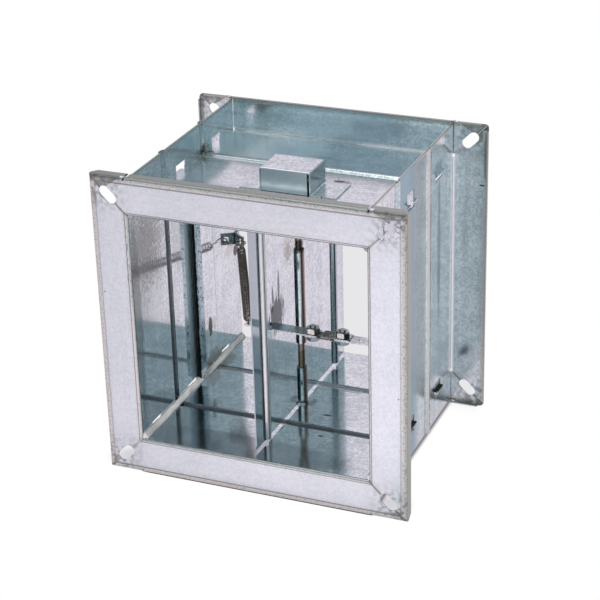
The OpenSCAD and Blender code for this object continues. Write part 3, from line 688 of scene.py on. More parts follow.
def wire_mesh(name, path, aside, radius, sides):
    """A round wire along a path: at each point a circle of the radius, square to the path, that starts
    square to the given side direction. Point = path + radius (cos a · n + sin a · b)."""
    tangent = unit(np.gradient(path, axis=0))
    normal = unit(np.cross(aside, tangent))
    binormal = np.cross(tangent, normal)
    angle = np.linspace(0, 2 * math.pi, sides, endpoint=False)[None, :, None]
    ring = np.cos(angle) * normal[:, None, :] + np.sin(angle) * binormal[:, None, :]
    return grid_mesh(name, path[:, None, :] + radius * ring, capped=True)


def spring_path(shape):
    """The wire of the spring from the lug's hook to the tongue's, and a side direction for each point.
    In the spring's own axes, X along it, Y level and Z up, the hooks are circles round the holes' rims
    and the coils are the helix (x, r cos t, r sin t), whose radius grows from nothing in its first turn
    and shrinks to nothing in its last."""
    start, end = np.array(shape.lug_eye), np.array(shape.tongue_eye)
    span = np.linalg.norm(end - start)
    ahead = (end - start) / span
    level = np.cross((0, 0, 1), ahead)
    rear_turn = np.radians(np.arange(-30, -319, -6))
    rear_radius = 0.0045
    rear_hook = np.stack([rear_radius * (1 + np.cos(rear_turn)), rear_radius * np.sin(rear_turn),
                          0 * rear_turn], 1)
    shank = np.array([(0.0101, 0.001125, 0.0), (0.0112, 0.0, 0.0)])
    turn = np.linspace(0, 2 * math.pi * shape.coils, shape.coils * 24)
    share = turn / turn[-1]
    radius = shape.coil_radius * np.minimum(1, shape.coils * np.minimum(share, 1 - share))
    coil_end = span - shape.last_gap
    helix = np.stack([shape.first_coil + (coil_end - shape.first_coil) * share,
                      radius * np.cos(turn), radius * np.sin(turn)], 1)
    front_turn = np.radians(np.arange(144, -145, -6))
    front_radius = 0.0028
    front_hook = np.stack([span - front_radius * (1 - np.cos(front_turn)), 0 * front_turn,
                           front_radius * np.sin(front_turn)], 1)
    local = np.concatenate([rear_hook, shank, helix, front_hook])
    side_of = {"hook": (0, 0, 1), "coil": (1, 0, 0), "front": (0, 1, 0)}
    sides = np.array([side_of["hook"]] * (len(rear_hook) + 2) + [side_of["coil"]] * len(helix)
                     + [side_of["front"]] * len(front_hook), float)
    both = even_path(np.concatenate([local, sides], 1), 0.0009, 0.0018)
    axes = np.stack([ahead, level, (0.0, 0.0, 1.0)])
    return start + both[:, :3] @ axes, both[:, 3:] @ axes


def oiled_wire(shape):
    """Dark oiled spring steel with brownish film and bare, brighter rubbed crowns."""
    material, w, shader, place = new_material("oiled_spring_wire")
    film = w.noise(place, 700.0, 4.0)
    brown = w.blend(w.ramp(film, 0.35, 0.65), shape.wire_colour, (0.22, 0.19, 0.16))
    bare = w.ramp(w.noise(place, 1900.0, 2.0), 0.55, 0.7)
    colour = w.blend(w.math("MULTIPLY", bare, 0.7), brown, (0.42, 0.41, 0.39))
    w.feed(shader.inputs["Base Color"], colour)
    w.feed(shader.inputs["Roughness"], w.between(film, 0.28, 0.5))
    shader.inputs["Metallic"].default_value = 0.85
    bump(w, shader, film, 0.2, 0.0001)
    return material


def rib_wear(coat, look):
    """A row of rust dots along the crest of the rear rib outside the duct, with a pale painted highlight on
    either side of it."""
    w = coat.w
    axes = w.node("ShaderNodeSeparateXYZ", {0: coat.place}).outputs
    raised = w.math("GREATER_THAN", w.math("ABSOLUTE", axes["X"]), DUCT_HALF + 0.0013)
    aside = w.math("ABSOLUTE", w.math("SUBTRACT", axes["Y"], REAR_RIB_Y))
    # Painted highlight: a pale line on either side of the crest.
    pale = w.math("MULTIPLY", coat.line(aside, 0.0024, 0.0012), raised)
    coat.lay(coat.product(pale, 0.8), look.worn, 0.4)
    dots = w.ramp(w.noise(w.stretched(coat.place, (1, 1, 1)), 520.0, 2.0), 0.42, 0.55)
    crest = w.math("MULTIPLY", coat.line(aside, 0.0, 0.0009), raised)
    coat.lay(coat.product(crest, dots, 0.9), look.burn, 0.5)


def right_shade(coat, look):
    """Painted reflection: the slate grey stretch of the right wall's outer face and fin, where the wall
    mirrors the dark floor behind it, sharp at the front rib and fading out ahead of the rear one."""
    w = coat.w
    axes = w.node("ShaderNodeSeparateXYZ", {0: coat.place}).outputs
    outer = w.math("GREATER_THAN", axes["X"], DUCT_HALF + 0.0006)
    stretch = w.math("MULTIPLY", w.ramp(axes["Y"], FRONT_RIB_Y - 0.0006, FRONT_RIB_Y + 0.0006),
                     w.ramp(axes["Y"], 0.022, -0.004))
    # Painted reflection of the dark floor, in slate grey.
    coat.lay(coat.product(outer, stretch, 0.9), (0.18, 0.35, 0.41), 0.13)


def stop_seam(coat, look):
    """Painted reflection of the stop on the inside of a wall ahead of its leg: a dull slate grey band for the
    mirrored leg, with a torn dark brown band in it for the mirrored crevice at the leg's root, and a dark
    line along the rear edge of its foot."""
    w = coat.w
    axes = w.node("ShaderNodeSeparateXYZ", {0: coat.place}).outputs
    across = w.math("ABSOLUTE", axes["X"])
    ahead = w.math("MULTIPLY", axes["Y"], w.math("SIGN", axes["X"]))
    ahead = w.math("MULTIPLY", ahead, -1.0)
    torn = w.math("SUBTRACT", w.noise(w.stretched(coat.place, (420, 420, 160)), 1.0, 5.0), 0.5)
    crept = w.math("ADD", ahead, w.math("MULTIPLY", torn, 0.006))
    band = w.math("MULTIPLY", w.ramp(ahead, -0.0078, -0.0068), w.math("LESS_THAN", ahead, 0.0062))
    mirrored_crevice = w.math("MULTIPLY", band, w.ramp(crept, 0.0016, 0.0040))
    axial = w.math("LESS_THAN", w.math("ABSOLUTE", w.math("SUBTRACT", axes["Z"], MID_Z)), 0.0955)
    skin = w.math("LESS_THAN", w.math("ABSOLUTE", w.math("SUBTRACT", across, DUCT_HALF)), 0.0004)
    # Painted reflection: the mirrored leg as a slate grey band, and the mirrored crevice at its root as a
    # dark brown band.
    coat.lay(coat.product(band, axial, skin, 0.95), (0.82, 0.97, 0.99), 0.55)
    coat.lay(coat.product(mirrored_crevice, axial, skin, 0.75), (0.12, 0.11, 0.085), 0.5)
    coat.lay(coat.product(coat.line(ahead, 0.0484, 0.0009), axial, skin, 0.6), look.grime, 0.4)


def stop_dirt(coat, look):
    """Duller zinc on a stop, painted black shade in the crevice at its root, and rusty dots along its leg."""
    w = coat.w
    axes = w.node("ShaderNodeSeparateXYZ", {0: coat.place}).outputs
    inward = w.math("SUBTRACT", DUCT_HALF, w.math("ABSOLUTE", axes["X"]))
    ahead = w.math("MULTIPLY", w.math("MULTIPLY", axes["Y"], w.math("SIGN", axes["X"])), -1.0)
    leg = w.math("MULTIPLY", w.math("GREATER_THAN", inward, 0.0014), w.math("LESS_THAN", ahead, 0.0075))
    coat.lay(coat.product(leg, 0.92), (0.52, 0.61, 0.64), 0.16)
    dots = w.ramp(w.noise(w.stretched(coat.place, (1, 1, 0.7)), 1100.0, 2.0), 0.56, 0.62)
    coat.lay(coat.product(dots, leg, 0.85), look.burn, 0.5)
    torn = w.math("SUBTRACT", w.noise(w.stretched(coat.place, (420, 420, 200)), 1.0, 5.0), 0.5)
    root = w.ramp(w.math("ADD", inward, w.math("MULTIPLY", torn, 0.003)), 0.0038, 0.0046, 1.0, 0.0)
    root = w.math("MULTIPLY", root, w.ramp(inward, 0.0010, 0.0020))
    near_leg = w.math("LESS_THAN", ahead, 0.0072)
    # Painted shade: black in the crevice at the stop's root.
    coat.lay(coat.product(root, near_leg, 0.97), (0.006, 0.006, 0.006), 0.6)


def bead_wear(coat, look):
    """Painted light on the blade's beads: a pale, matt painted highlight on the front bead's crest between
    two painted dark lines, and painted dull slate grey reflection on the rear bead and on the strip ahead of
    the front one; and the bare, brownish loops that hold the axle."""
    w = coat.w
    along = w.node("ShaderNodeSeparateXYZ", {0: coat.place}).outputs["Y"]
    front, rear = BEADS_Y
    # Painted reflection: dull slate grey on the strip ahead of the front bead.
    coat.lay(w.ramp(along, front - 0.0065, front - 0.0055, 0.85, 0.0), (0.38, 0.47, 0.50), 0.1)
    # Painted highlight on the front bead's crest, with a painted dark line on either side of it.
    off = w.math("ABSOLUTE", w.math("SUBTRACT", along, front + 0.0012))
    coat.lay(w.ramp(off, 0.0042, 0.0050, 0.92, 0.0), (0.90, 0.92, 0.90), 0.42)
    coat.lay(coat.product(coat.line(off, 0.0062, 0.0012), 0.7), look.burn, 0.4)
    # Painted reflection: dull slate grey on the rear bead.
    off = w.math("ABSOLUTE", w.math("SUBTRACT", along, rear))
    coat.lay(w.ramp(off, 0.0036, 0.0046, 0.7, 0.0), (0.36, 0.42, 0.44), 0.2)
    off = w.math("ABSOLUTE", w.math("SUBTRACT", along, AXLE_Y))
    coat.lay(w.ramp(off, 0.0034, 0.0042, 0.92, 0.0), (0.38, 0.29, 0.21), 0.36)


def corner_tab(coat, look):
    """Painted shade: the darker three-cornered end of a top bar, from its lip's joint to the slot in the
    corner, with a dark line along its slanted edge.
    """
    w = coat.w
    around = w.group(shared(flange_frame), vector=coat.place)
    above = w.math("GREATER_THAN", w.node("ShaderNodeSeparateXYZ", {0: coat.place}).outputs["Z"], MID_Z)
    slanted = w.math("SUBTRACT", around["Smaller"], w.math("MULTIPLY", around["From outer"], 1.67))
    tab = w.ramp(slanted, 0.1035, 0.1045)
    fade = w.ramp(around["From outer"], 0.001, 0.010, 1.0, 0.25)
    # Painted shade on the tab and a painted dark line along its slanted edge.
    coat.lay(coat.product(tab, fade, above, around["Face"], 0.6), look.grime, 0.45)
    rim = coat.product(coat.line(slanted, 0.104, 0.0006), above, around["Face"], 0.45)
    coat.lay(rim, look.burn, 0.4)


class DAMPER_OT_finish_casing(Operator):
    """Gives the folded panels, covers, stops and bushes their galvanised finish."""

    bl_idname = "damper.finish_casing"
    bl_label = "Finish the casing"

    def execute(self, context):
        look = context.scene.damper_zinc
        give("left_panel", zinc_finish("left_panel_zinc", look, panel=True, patches=self.left_stains(look),
                                       extra=self.side_marks))
        give("right_panel", zinc_finish("right_panel_zinc", look, panel=True,
                                        patches=self.right_stains(look), extra=self.right_marks))
        give("top_panel", zinc_finish("top_panel_zinc", look, rolled=ALONG_X, panel=True,
                                      patches=self.top_stains(look), extra=corner_tab))
        give("bottom_panel", zinc_finish("bottom_panel_zinc", look, rolled=ALONG_X, panel=True,
                                         patches=self.floor_stains(look), inner=look.floor_roughness))
        for cover in ("top_axle_cover", "bottom_axle_cover"):
            give(cover, zinc_finish(cover + "_zinc", look, roughness=0.2, edges=0.0005,
                                    patches=self.cover_stains(look, cover)))
        for stop in ("left_stop", "right_stop"):
            give(stop, zinc_finish(stop + "_zinc", look, roughness=0.1, patches=self.stop_stains(look),
                                   extra=stop_dirt))
        lug_film = Patch((-0.096, 0.092, MID_Z), (0.03, 0.03, 0.03), look.rust, 0.45, 0.3, 1.2)
        give("spring_lug", zinc_finish("spring_lug_zinc", look, patches=[lug_film], roughness=0.14))
        for bush in ("upper_bush", "lower_bush"):
            give(bush, zinc_finish(bush + "_metal", look, roughness=0.2))
        return {"FINISHED"}

    def side_marks(self, coat, look):
        rib_wear(coat, look)
        stop_seam(coat, look)

    def right_marks(self, coat, look):
        right_shade(coat, look)
        self.side_marks(coat, look)

    def left_stains(self, look):
        """Brown film in the front, burns round the lug and a weld on the fin, all on the left wall."""
        wall = -DUCT_HALF
        film = (0.42, 0.50, 0.49)
        return [
            Patch((wall, -0.076, 0.175), (0.004, 0.034, 0.075), film, 0.45, 0.14, 1.6, UPRIGHT_GRAIN),
            Patch((wall, -0.080, 0.190), (0.004, 0.024, 0.045), look.rust, 0.30, 0.2, 3.0, (500, 600, 160)),
            Patch((wall, -0.096, 0.140), (0.004, 0.007, 0.100), look.grime, 0.45, 0.2, 1.2, UPRIGHT_GRAIN),
            Patch((wall, -0.070, 0.200), (0.004, 0.030, 0.036), look.burn, 0.4, 0.3, 5.5, (900, 900, 330)),
            Patch((wall, -0.018, 0.190), (0.004, 0.012, 0.050), film, 0.45, 0.16, 2.2, UPRIGHT_GRAIN),
            Patch((wall, 0.081, 0.1265), (0.003, 0.012, 0.006), look.worn, 0.8, 0.45, 1.0),
            Patch((wall, 0.094, 0.1215), (0.003, 0.006, 0.006), look.burn, 0.85, 0.45, 1.2),
            Patch((wall, 0.052, 0.036), (0.004, 0.016, 0.007), look.rust, 0.6, 0.4, 1.8),
            Patch((wall, 0.043, 0.232), (0.004, 0.009, 0.010), look.burn, 0.6, 0.45, 2.4, (500,) * 3),
            Patch((wall, 0.041, 0.228), (0.004, 0.016, 0.014), look.rust, 0.5, 0.4, 2.4, (500,) * 3),
            Patch((wall, 0.046, 0.234), (0.004, 0.004, 0.004), look.worn, 0.8, 0.4, 2.4, (700,) * 3),
        ]

    def right_stains(self, look):
        """The streak under the rear window, a burnt hole and drips, on the right wall's outer face."""
        wall = DUCT_HALF + 0.001
        return [
            Patch((wall, 0.0660, 0.160), (0.002, 0.0045, 0.070), look.grime, 0.5, 0.25, 1.2, UPRIGHT_GRAIN),
            Patch((wall, 0.041, 0.228), (0.002, 0.0023, 0.0050), look.burn, 0.97, 0.4, 0.2),
            Patch((0.1265, REAR_Y - 0.001, 0.209), (0.0028, 0.002, 0.0009), look.burn, 0.9, 0.4, 0.9),
            Patch((0.128, REAR_Y - 0.001, 0.261), (0.006, 0.002, 0.004), look.burn, 0.7, 0.4, 1.8),
            Patch((0.130, REAR_Y - 0.001, 0.235), (0.0025, 0.002, 0.026), look.grime, 0.7, 0.4, 1.2),
        ]

    def top_stains(self, look):
        """Painted reflections: slate grey on the front left of the top wall, paler on its rear left and
        duller on the middle of the rear bar;
        burns beside the axle cover's feet and under the weld of the left fin; and painted dark shade on the
        tabs in the right wall's upper windows."""
        skin = DUCT_HALF + MID_Z + 0.001
        above = skin + 0.0004
        slate, bright = (0.38, 0.52, 0.57), (0.92, 1.0, 1.0)
        return [
            # Painted reflections: the three patches below stand for what the top wall and the rear bar
            # mirror.
            Patch((-0.090, -0.070, above), (0.100, 0.060, 0.0013), slate, 0.8, 0.15, 0.5, ROLLED_GRAIN),
            Patch((-0.070, 0.075, above), (0.080, 0.060, 0.0013), bright, 0.8, 0.2, 0.5, ROLLED_GRAIN),
            Patch((0.0, REAR_Y - 0.0014, 0.252), (0.075, 0.0012, 0.024), slate, 0.6, 0.15, 0.5, ROLLED_GRAIN),
            Patch((0.036, 0.015, skin), (0.008, 0.004, 0.003), look.rust, 0.6, 0.4, 1.6, (500,) * 3),
            Patch((0.032, 0.0165, skin), (0.005, 0.0025, 0.003), look.burn, 0.7, 0.4, 1.8, (500,) * 3),
            Patch((-0.097, 0.041, skin), (0.005, 0.008, 0.003), look.burn, 0.75, 0.45, 1.8, (500,) * 3),
            Patch((-0.048, -0.026, skin), (0.006, 0.003, 0.003), look.burn, 0.6, 0.4, 1.8, (500,) * 3),
            # Painted shade: dark tabs in the right wall's upper windows.
            *(Patch((DUCT_HALF, y, 0.2265), (0.008, 0.010, 0.0035), look.burn, 0.9, 0.6, 0.2)
              for y in WINDOWS_Y),
        ]

    def floor_stains(self, look):
        """Scratches and rusty drops on the duct's floor, brown film where the left stop ends, a dark grey
        streak near the blade, painted dark shade on the tabs in the right wall's lower windows, and painted
        slate grey reflection across the front and the left front of the floor.
        """
        floor = MID_Z - DUCT_HALF
        return [
            Patch((-0.076, 0.037, floor), (0.004, 0.0016, 0.002), look.burn, 0.8, 0.3, 1.0),
            Patch((0.029, -0.014, floor), (0.005, 0.0018, 0.002), look.burn, 0.8, 0.3, 1.2),
            Patch((0.037, -0.049, floor), (0.003, 0.0014, 0.002), look.burn, 0.8, 0.3, 1.0),
            Patch((-0.013, 0.055, floor), (0.004, 0.008, 0.002), look.rust, 0.55, 0.3, 1.6),
            Patch((0.009, 0.003, floor), (0.004, 0.007, 0.002), look.rust, 0.5, 0.3, 1.6),
            Patch((0.034, 0.032, floor), (0.011, 0.0008, 0.002), look.burn, 0.7, 0.3, 0.6),
            Patch((-0.092, 0.050, floor), (0.006, 0.018, 0.002), look.rust, 0.5, 0.3, 1.8),
            # Painted shade: dark tabs in the right wall's lower windows.
            *(Patch((DUCT_HALF, y, 0.030), (0.008, 0.010, 0.010), look.burn, 0.97, 0.6, 0.2)
              for y in WINDOWS_Y),
            Patch((-0.019, 0.028, floor), (0.0045, 0.015, 0.002), (0.22, 0.25, 0.26), 0.8, 0.2, 1.2),
            # Painted reflection: slate grey across the front and the left front of the floor.
            Patch((-0.020, -0.088, floor), (0.110, 0.022, 0.002), (0.30, 0.34, 0.36), 0.55, 0.12, 0.5),
            Patch((-0.085, -0.060, floor), (0.022, 0.050, 0.002), (0.30, 0.34, 0.36), 0.5, 0.12, 0.5),
        ]

    def cover_stains(self, look, cover):
        """Painted light on an axle cover: a paler painted reflection on its front and painted shade in the
        fold at its right end.
        """
        low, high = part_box(cover)
        mid_x, mid_z = (low.x + high.x) / 2, (low.z + high.z) / 2
        return [
            # Painted reflection on the front, then painted shade at the right end.
            Patch((mid_x, low.y, mid_z), (0.060, 0.0012, 0.030), (0.88, 0.95, 0.95), 0.9, 0.3, 0.1),
            Patch((0.0315, low.y, mid_z), (0.0010, 0.0030, 0.014), look.burn, 0.9, 0.4, 0.3),
        ]

    def stop_stains(self, look):
        """The burnt and the pale end of a foot weld, and brown film where the foot ends."""
        foot = -DUCT_HALF + 0.001
        return [
            Patch((foot, 0.033, 0.073), (0.004, 0.0045, 0.011), look.burn, 0.9, 0.4, 1.2),
            Patch((foot, 0.041, 0.073), (0.004, 0.0040, 0.008), look.worn, 0.8, 0.4, 1.0),
            Patch((foot, 0.036, 0.040), (0.006, 0.018, 0.010), look.rust, 0.5, 0.4, 1.8),
        ]


class DAMPER_OT_finish_blade(Operator):
    """Gives the blade and its axle their finish."""

    bl_idname = "damper.finish_blade"
    bl_label = "Finish the blade"

    def execute(self, context):
        look = context.scene.damper_zinc
        brushed = (900, 900, 75)
        smear = (0.10, 0.115, 0.125)
        stains = [
            Patch((0, -0.045, 0.137), (0.008, 0.016, 0.017), smear, 0.9, 0.35, 1.9, brushed),
            Patch((0, -0.040, 0.160), (0.008, 0.0022, 0.016), smear, 0.8, 0.35, 1.2, brushed),
            Patch((0, -0.052, 0.155), (0.008, 0.0018, 0.010), smear, 0.8, 0.35, 1.2, brushed),
            Patch((0, -0.053, 0.144), (0.008, 0.0022, 0.0035), look.burn, 0.9, 0.35, 0.6),
            Patch((0, -0.020, 0.182), (0.008, 0.009, 0.011), look.rust, 0.6, 0.3, 5.0, (900, 900, 300)),
            Patch((0, 0.0025, 0.178), (0.012, 0.010, 0.007), look.burn, 0.8, 0.4, 1.2),
        ]
        give("blade", zinc_finish("blade_zinc", look, roughness=look.inner_roughness, patches=stains,
                                  extra=bead_wear))
        bare = [
            Patch((0, 0.0025, 0.0745), (0.008, 0.008, 0.0105), look.rust, 0.9, 0.4, 0.5),
            Patch((0, 0.0025, 0.178), (0.012, 0.010, 0.007), look.burn, 0.85, 0.4, 1.0),
        ]
        polished = Patch((0, 0.0025, MID_Z), (0.01, 0.01, 0.5), (0.42, 0.36, 0.29), 0.95, 0.42, 0.3)
        give("axle_rod", zinc_finish("axle_steel", look, patches=[polished] + bare))
        return {"FINISHED"}


class DAMPER_OT_finish_link(Operator):
    """Gives the straps, link plates and nuts their finish."""

    bl_idname = "damper.finish_link"
    bl_label = "Finish the link"

    def execute(self, context):
        look = context.scene.damper_zinc
        middle = (0.048, -0.060, MID_Z)
        film = Patch(middle, (0.034, 0.03, 0.03), look.rust, 0.35, 0.25, 1.6, (400,) * 3)
        crust = Patch((0.050, -0.060, MID_Z), (0.012, 0.02, 0.02), (0.84, 0.84, 0.74), 0.8, 0.55, 4.0,
                      (1100,) * 3)
        pits = Patch((0.050, -0.060, MID_Z), (0.014, 0.02, 0.02), look.burn, 0.8, 0.5, 6.0, (1400,) * 3)
        gilt = Patch(middle, (0.06, 0.03, 0.03), (0.52, 0.46, 0.34), 0.35, 0.2, 1.6)
        for node in ("wall_strap", "blade_strap"):
            give(node, zinc_finish(node + "_metal", look, roughness=0.16, patches=[film]))
        for node in ("wall_link_plate", "blade_link_plate"):
            give(node, zinc_finish(node + "_metal", look, roughness=0.3, patches=[crust, pits]))
        for node in ("wall_nut", "blade_nut"):
            give(node, zinc_finish(node + "_metal", look, roughness=0.14, patches=[gilt]))
        return {"FINISHED"}


def sealant_grid(side, level, shape, rows=260, columns=13):
    """One bead of sealant along a corner of the duct. Its section runs from the wall to the floor or
    roof of the duct, from (0, a) to (b, 0) away from the corner, and swells out of the straight line
    between them by h sin(pi t); a, b and h waver along the bead with sums of sines, and a sinks where
    the foot of the stop comes down to the bead."""
    y = np.linspace(FRONT_Y + 0.0012, REAR_Y - 0.0012, rows)[:, None]
    t = np.linspace(0, 1, columns)[None, :]
    phase = 1.7 * side + 2.9 * level
    waver = np.sin(61 * y + phase) + 0.6 * np.sin(143 * y + 2 * phase) + 0.35 * np.sin(331 * y)
    foot_start, foot_end = sorted((-side * 0.0035, -side * 0.0475))
    near_foot = np.clip(np.minimum(y - foot_start, foot_end - y) / 0.0015 + 1, 0, 1)
    leg = shape.leg * (1 + 0.07 * waver)
    up_wall = leg * (1 - near_foot) + np.minimum(leg, 0.0036) * near_foot
    along_floor = shape.leg * (1 + 0.07 * np.roll(waver, 37, 0))
    swell = shape.swell * (1 + 0.35 * np.roll(waver, 71, 0) / 1.5) * (1 - 0.5 * near_foot)
    ends = np.clip(np.minimum(y - y[0], y[-1] - y) / 0.002, 0.25, 1)
    out = swell * np.sin(math.pi * t) / math.sqrt(2) * ends
    from_wall = along_floor * t * ends + out
    from_level = up_wall * (1 - t) * ends + out
    bead = np.stack([side * (DUCT_HALF - from_wall), y + 0 * t,
                     MID_Z + level * (DUCT_HALF - from_level)], -1)
    root = np.stack([side * DUCT_HALF + 0 * y, y, MID_Z + level * DUCT_HALF + 0 * y], -1)
    grid = np.concatenate([bead, root], 1)
    return grid if side * level > 0 else grid[:, ::-1]


def sealant_finish(look):
    """Dried sealant: beige-grey, pitted, greyer at the thin rims where it was wiped along the sheet and
    towards the duct's two ends, and darkened with painted shade in its upper corners."""
    material, w, shader, place = new_material("dried_sealant")
    axes = w.node("ShaderNodeSeparateXYZ", {0: place}).outputs
    from_wall = w.math("SUBTRACT", DUCT_HALF, w.math("ABSOLUTE", axes["X"]))
    upward = w.math("ABSOLUTE", w.math("SUBTRACT", axes["Z"], MID_Z))
    from_level = w.math("SUBTRACT", DUCT_HALF, upward)
    apart = w.math("ABSOLUTE", w.math("SUBTRACT", from_wall, from_level))
    rim = w.ramp(w.math("DIVIDE", apart, w.math("ADD", from_wall, from_level)), 0.55, 0.95)
    cloud = w.noise(w.stretched(place, (1, 0.35, 1)), 260.0, 4.0)
    coat = Coat(w, place, w.blend(w.ramp(cloud, 0.35, 0.7), look.sealant, (0.66, 0.65, 0.62)), 0.5)
    coat.lay(coat.product(rim, 0.6), (0.42, 0.42, 0.41), 0.4)
    coat.lay(w.ramp(axes["Y"], 0.030, 0.085, 0.0, 0.6), (0.36, 0.40, 0.40), 0.5)
    coat.lay(w.ramp(axes["Y"], -0.050, -0.092, 0.0, 0.75), (0.40, 0.40, 0.40), 0.5)
    # Painted shade on the beads in the duct's upper corners.
    coat.lay(w.ramp(axes["Z"], MID_Z, MID_Z + 0.01, 0.0, 0.8), (0.22, 0.23, 0.23), 0.5)
    dots = w.ramp(w.noise(place, 900.0, 2.0), 0.60, 0.68)
    coat.lay(coat.product(dots, 0.4), look.grime, 0.6)
    w.feed(shader.inputs["Base Color"], coat.colour)
    w.feed(shader.inputs["Roughness"], coat.roughness)
    shader.inputs["Metallic"].default_value = 0.0
    shader.inputs["Specular IOR Level"].default_value = 0.2
    bump(w, shader, w.math("ADD", cloud, dots), 0.35, 0.0005)
    return material


class DAMPER_OT_lay_sealant(Operator):
    """Lays the beads of sealant along the four corners of the duct."""

    bl_idname = "damper.lay_sealant"
    bl_label = "Lay the sealant"

    def execute(self, context):
        shape = context.scene.damper_sealant
        beads = [(sealant_grid(side, level, shape), True) for side in (-1, 1) for level in (-1, 1)]
        mesh = joined_mesh("sealant_beads", beads)
        add_piece(mesh, sealant_finish(context.scene.damper_zinc), CASING,
                  replaced=["corner_sealant"])
        return {"FINISHED"}


def solder_rim(low, high, out, thick):
    """The solder that was squeezed out round the lapped plates: a tube round a rounded rectangle, whose
    path is (a |cos|^0.4, b |sin|^0.4) with the signs of the cosine and sine, and whose radius swells and
    shrinks with three sines."""
    turn = np.linspace(0, 2 * math.pi, 240, endpoint=False)
    half = (high - low) / 2
    centre = (high + low) / 2
    corner = [np.sign(f(turn)) * np.abs(f(turn)) ** 0.4 for f in (np.cos, np.sin)]
    path = np.stack([centre[0] + (half[0] + out) * corner[0], centre[1] + (half[1] + out) * corner[1],
                     centre[2] + thick * 0.4 * np.sin(5 * turn + 0.6)], 1)
    radius = thick * (0.8 + 0.28 * np.sin(7 * turn) + 0.22 * np.sin(13 * turn + 1) + 0.15 * np.sin(29 * turn))
    tangent = unit(np.roll(path, -1, 0) - np.roll(path, 1, 0))
    outward = unit(np.cross(tangent, (0.0, 0.0, 1.0)))
    around = np.linspace(0, 2 * math.pi, 14, endpoint=False)[None, :, None]
    ring = np.cos(around) * outward[:, None, :] + np.sin(around) * np.array((0.0, 0.0, 1.0))
    return path[:, None, :] + radius[:, None, None] * ring


def solder_pool(low, high, height):
    """The solder between and on the plates: a lens over the lap whose thickness is
    h (1 - u^6)(1 - v^6) with small lumps, u and v running from -1 to 1 across the lap."""
    u, v = np.meshgrid(np.linspace(-1, 1, 61), np.linspace(-1, 1, 41), indexing="ij")
    lumps = 1 + 0.35 * np.sin(9 * u + 3 * v) * np.cos(8 * v - 2 * u) + 0.2 * np.sin(23 * u) * np.sin(17 * v)
    thick = height * (1 - u ** 6) * (1 - v ** 6) * lumps
    centre, half = (high + low) / 2, (high - low) / 2
    x, y = centre[0] + half[0] * u, centre[1] + half[1] * v
    over = np.stack([x, y, high[2] + thick], -1)
    under = np.stack([x, y, low[2] + 0 * thick], -1)
    return np.concatenate([over, under[:, ::-1]], 1)


def solder_finish(look):
    """Crusted tin solder: grey with brown flux in its hollows."""
    material, w, shader, place = new_material("crusted_solder")
    crust = w.noise(place, 650.0, 5.0)
    coat = Coat(w, place, w.blend(w.ramp(crust, 0.35, 0.65), (0.16, 0.145, 0.12), (0.62, 0.60, 0.56)), 0.38)
    coat.lay(coat.product(w.ramp(w.noise(place, 300.0, 3.0), 0.5, 0.6), 0.6), look.rust, 0.5)
    w.feed(shader.inputs["Base Color"], coat.colour)
    w.feed(shader.inputs["Roughness"], coat.roughness)
    shader.inputs["Metallic"].default_value = 0.9
    bump(w, shader, crust, 1.0, 0.0005)
    return material


class DAMPER_OT_run_solder(Operator):
    """Runs the solder between the lapped link plates, with its lumpy rim."""

    bl_idname = "damper.run_solder"
    bl_label = "Run the solder"

    def execute(self, context):
        shape = context.scene.damper_link
        low, high = (np.array(corner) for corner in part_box("link_solder"))
        rim = solder_rim(low, high, shape.rim_out, shape.rim_thick)
        pool = solder_pool(low, high, 0.0)
        mesh = joined_mesh("link_solder_run", [(rim, False), (pool, True)])
        add_piece(mesh, solder_finish(context.scene.damper_zinc), CASING,
                  replaced=["link_solder"])
        return {"FINISHED"}


def threaded_grid(middle, low, high, shape):
    """A threaded shank: radius r + d (|2 frac(z / pitch - turn) - 1| - 1/2), turned down to a chamfer at
    its upper end, over the height and once around."""
    z = np.concatenate([np.linspace(low, high, 140), [high]])[:, None]
    turn = np.linspace(0, 1, 28, endpoint=False)[None, :]
    ridge = np.abs(2 * ((z / shape.pitch - turn) % 1) - 1) - 0.5
    radius = shape.shank_radius - shape.thread / 2 + shape.thread * ridge
    radius = np.minimum(radius, shape.shank_radius - 0.0008 + np.clip(high - z, 0, None) * 1.2)
    angle = 2 * math.pi * turn
    return np.stack([middle[0] + radius * np.cos(angle), middle[1] + radius * np.sin(angle),
                     z + 0 * turn], -1)


def hex_head_grid(middle, low, high, flats):
    """A hexagon head: rings of six flats whose reach is (f / 2) / cos(angle from the flat's middle), cut
    down by a chamfer's cone at both ends."""
    angle = np.linspace(0, 2 * math.pi, 72, endpoint=False)[None, :]
    from_flat = (angle + math.pi / 6) % (math.pi / 3) - math.pi / 6
    reach = flats / 2 / np.cos(from_flat)
    bevel = 0.0006
    z = np.array([low, low, low + bevel / 2, low + bevel, high - bevel, high - bevel / 2, high, high])
    cone = flats / 2 + np.array([-0.004, 0, 0.0005, 0.001, 0.001, 0.0005, 0, -0.004])
    radius = np.minimum(reach, cone[:, None])
    return np.stack([middle[0] + radius * np.cos(angle), middle[1] + radius * np.sin(angle),
                     z[:, None] + 0 * angle], -1)


